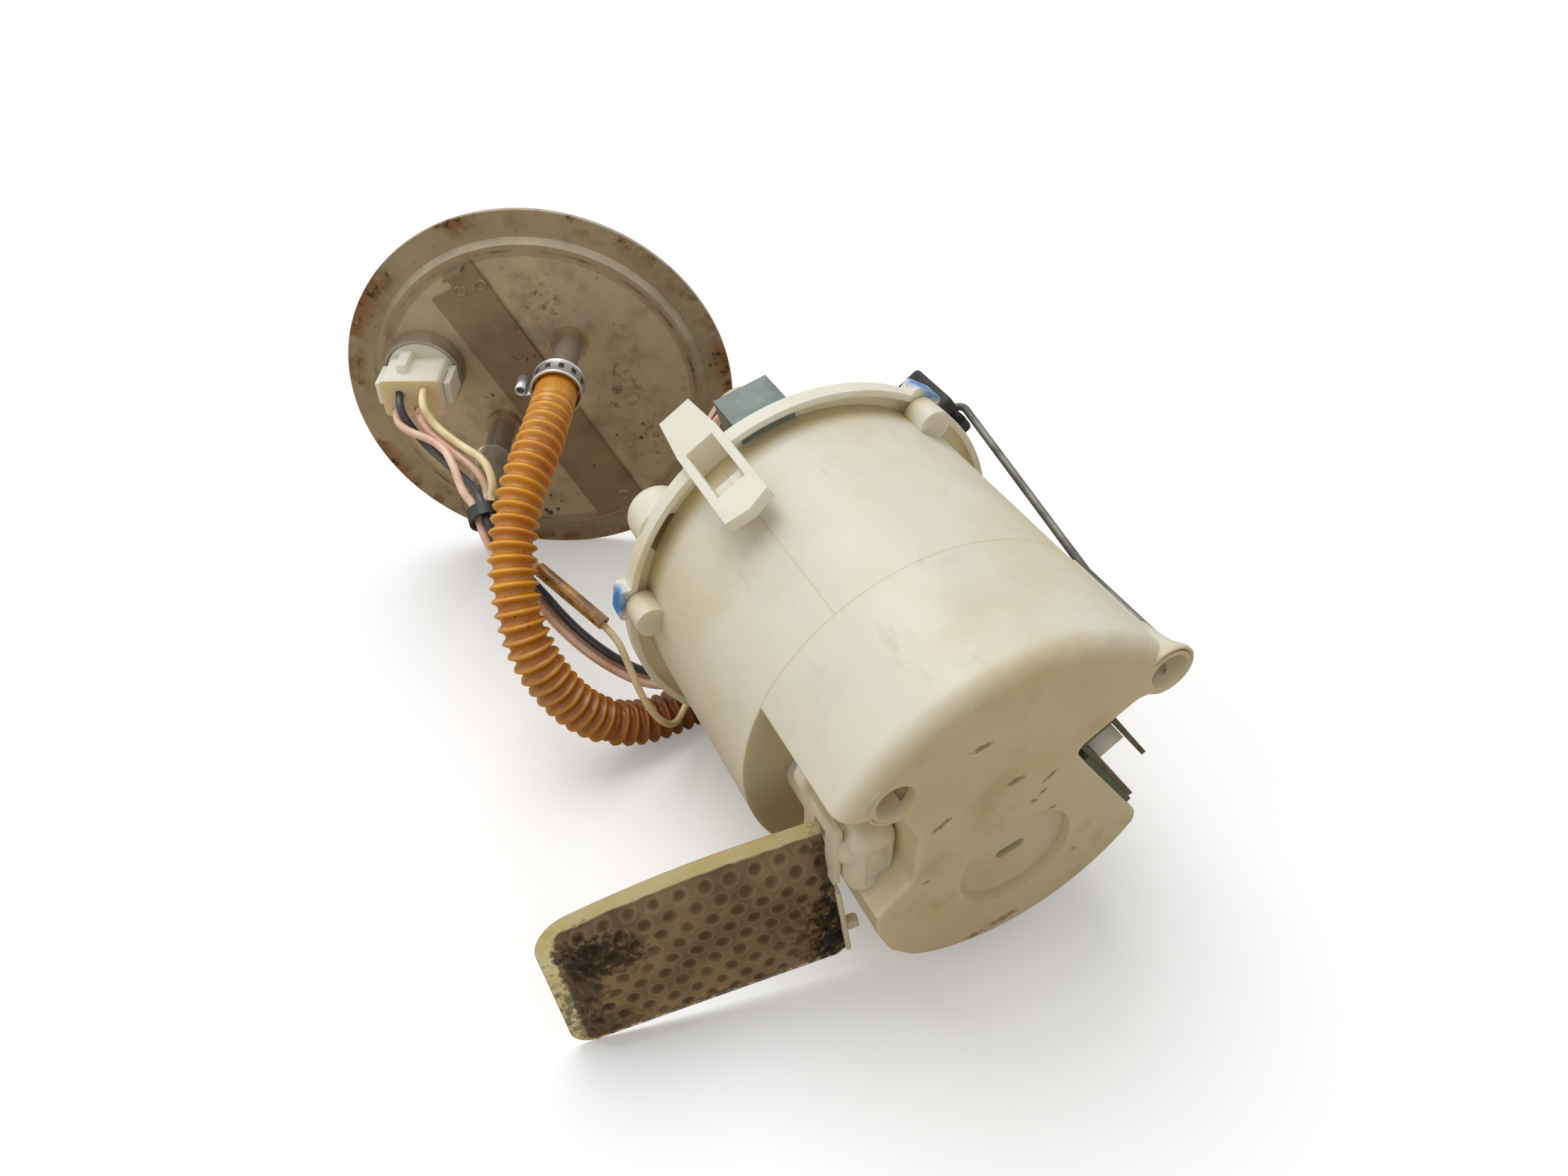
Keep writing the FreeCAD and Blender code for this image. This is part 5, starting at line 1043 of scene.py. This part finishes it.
base = lay(tree, base, between(tree, fibre.outputs[0], 0.35, 0.7), 0.35, (188, 164, 128))
pressed = kept_on(tree, "pressed")
pale_rings = maths(tree, "MULTIPLY", maths(tree, "GREATER_THAN", pressed, 0.02),
                   maths(tree, "LESS_THAN", pressed, 0.22))
base = lay(tree, base, pale_rings, 0.3, (204, 180, 142))
uneven_dents = use(tree, stain, Vector=pad, Scale=110.0, Low=0.3, High=0.6)
dark_ring = maths(tree, "MULTIPLY", between(tree, pressed, 0.2, 0.5, soft=True),
                  maths(tree, "ADD", maths(tree, "MULTIPLY", uneven_dents, 0.35), 0.22))
base = blend(tree, dark_ring, base, colour(92, 70, 44))
base = lay(tree, base, between(tree, pressed, 0.6, 0.8, soft=True), 0.45, (148, 112, 72))
round_x = -SOCK_LENGTH / 2 + TOP_CORNER
round_z = SOCK_WIDTH / 2 - TOP_CORNER
corner_out = vector_maths(tree, "DISTANCE", pad, (round_x, 0, round_z), "Value")
in_corner = maths(tree, "MULTIPLY", maths(tree, "LESS_THAN", pad_parts["X"], round_x),
                  maths(tree, "GREATER_THAN", pad_parts["Z"], round_z))
from_top = maths(tree, "SUBTRACT", SOCK_WIDTH / 2, pad_parts["Z"])
from_low = maths(tree, "ADD", maths(tree, "ADD", pad_parts["Z"], SOCK_WIDTH / 2), 0.0034)
from_end = maths(tree, "ADD", maths(tree, "ADD", pad_parts["X"], SOCK_LENGTH / 2), 0.0012)
from_rim = maths(tree, "MINIMUM", maths(tree, "MINIMUM", from_top, from_low), from_end)
round_rim = maths(tree, "SUBTRACT", TOP_CORNER + 0.0007, corner_out)
off_corner = maths(tree, "SUBTRACT", 1.0, in_corner)
round_rim = maths(tree, "ADD", maths(tree, "MULTIPLY", in_corner, round_rim), off_corner)
from_rim = maths(tree, "MINIMUM", from_rim, round_rim)
uneven = add_node(tree, "ShaderNodeTexNoise", Vector=pad, Scale=160.0, Detail=3.0)
border_width = maths(tree, "ADD", maths(tree, "MULTIPLY", uneven.outputs[0], 0.0016), TOP_BORDER - 0.0011)
border = between(tree, maths(tree, "SUBTRACT", from_rim, border_width), 0.0004, -0.0004, soft=True)
aged = use(tree, stain, Vector=pad, Scale=120.0, Low=0.45, High=0.75)
base = blend(tree, border, base, blend(tree, aged, colour(255, 250, 214), colour(252, 236, 180)))
for centre, along, length, width, strength, shade in (
        ((0.0290, -0.004, -0.011), (0, 0, 1), 0.0150, 0.0085, 0.8, (128, 88, 38)),
        ((0.0320, -0.003, -0.012), (0, 0, 1), 0.0170, 0.0070, 0.95, (30, 21, 12)),
        ((0.0330, -0.003, 0.008), (0, 0, 1), 0.0160, 0.0040, 0.6, (54, 42, 28)),
        ((-0.0205, -0.004, 0.0090), (1, 0, -0.1), 0.0120, 0.0075, 0.8, (40, 31, 20)),
        ((-0.0270, -0.004, 0.0010), (0.2, 0, 1), 0.0200, 0.0066, 0.6, (48, 38, 26)),
        ((0.002, -0.003, -0.0222), (1, 0, 0), 0.036, 0.0042, 0.65, (46, 36, 22)),
        ((-0.026, -0.004, -0.016), (1, 0, 0.2), 0.0110, 0.0090, 0.45, (62, 48, 30))):
    soaked = use(tree, mark, Vector=pad, Centre=centre, Along=Vector(along).normalized(), Length=length,
                 Width=width, Rough=0.6)
    base = lay(tree, base, soaked, strength, shade)
set_inputs(tree, shader, Base_Color=base, Roughness=0.92, Sheen_Weight=0.15)
surface(tree, shader, fibre.outputs[0], 0.00035, 0.7)
sock.data.materials.append(felt)
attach(sock, "module")
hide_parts("strainer_sock")
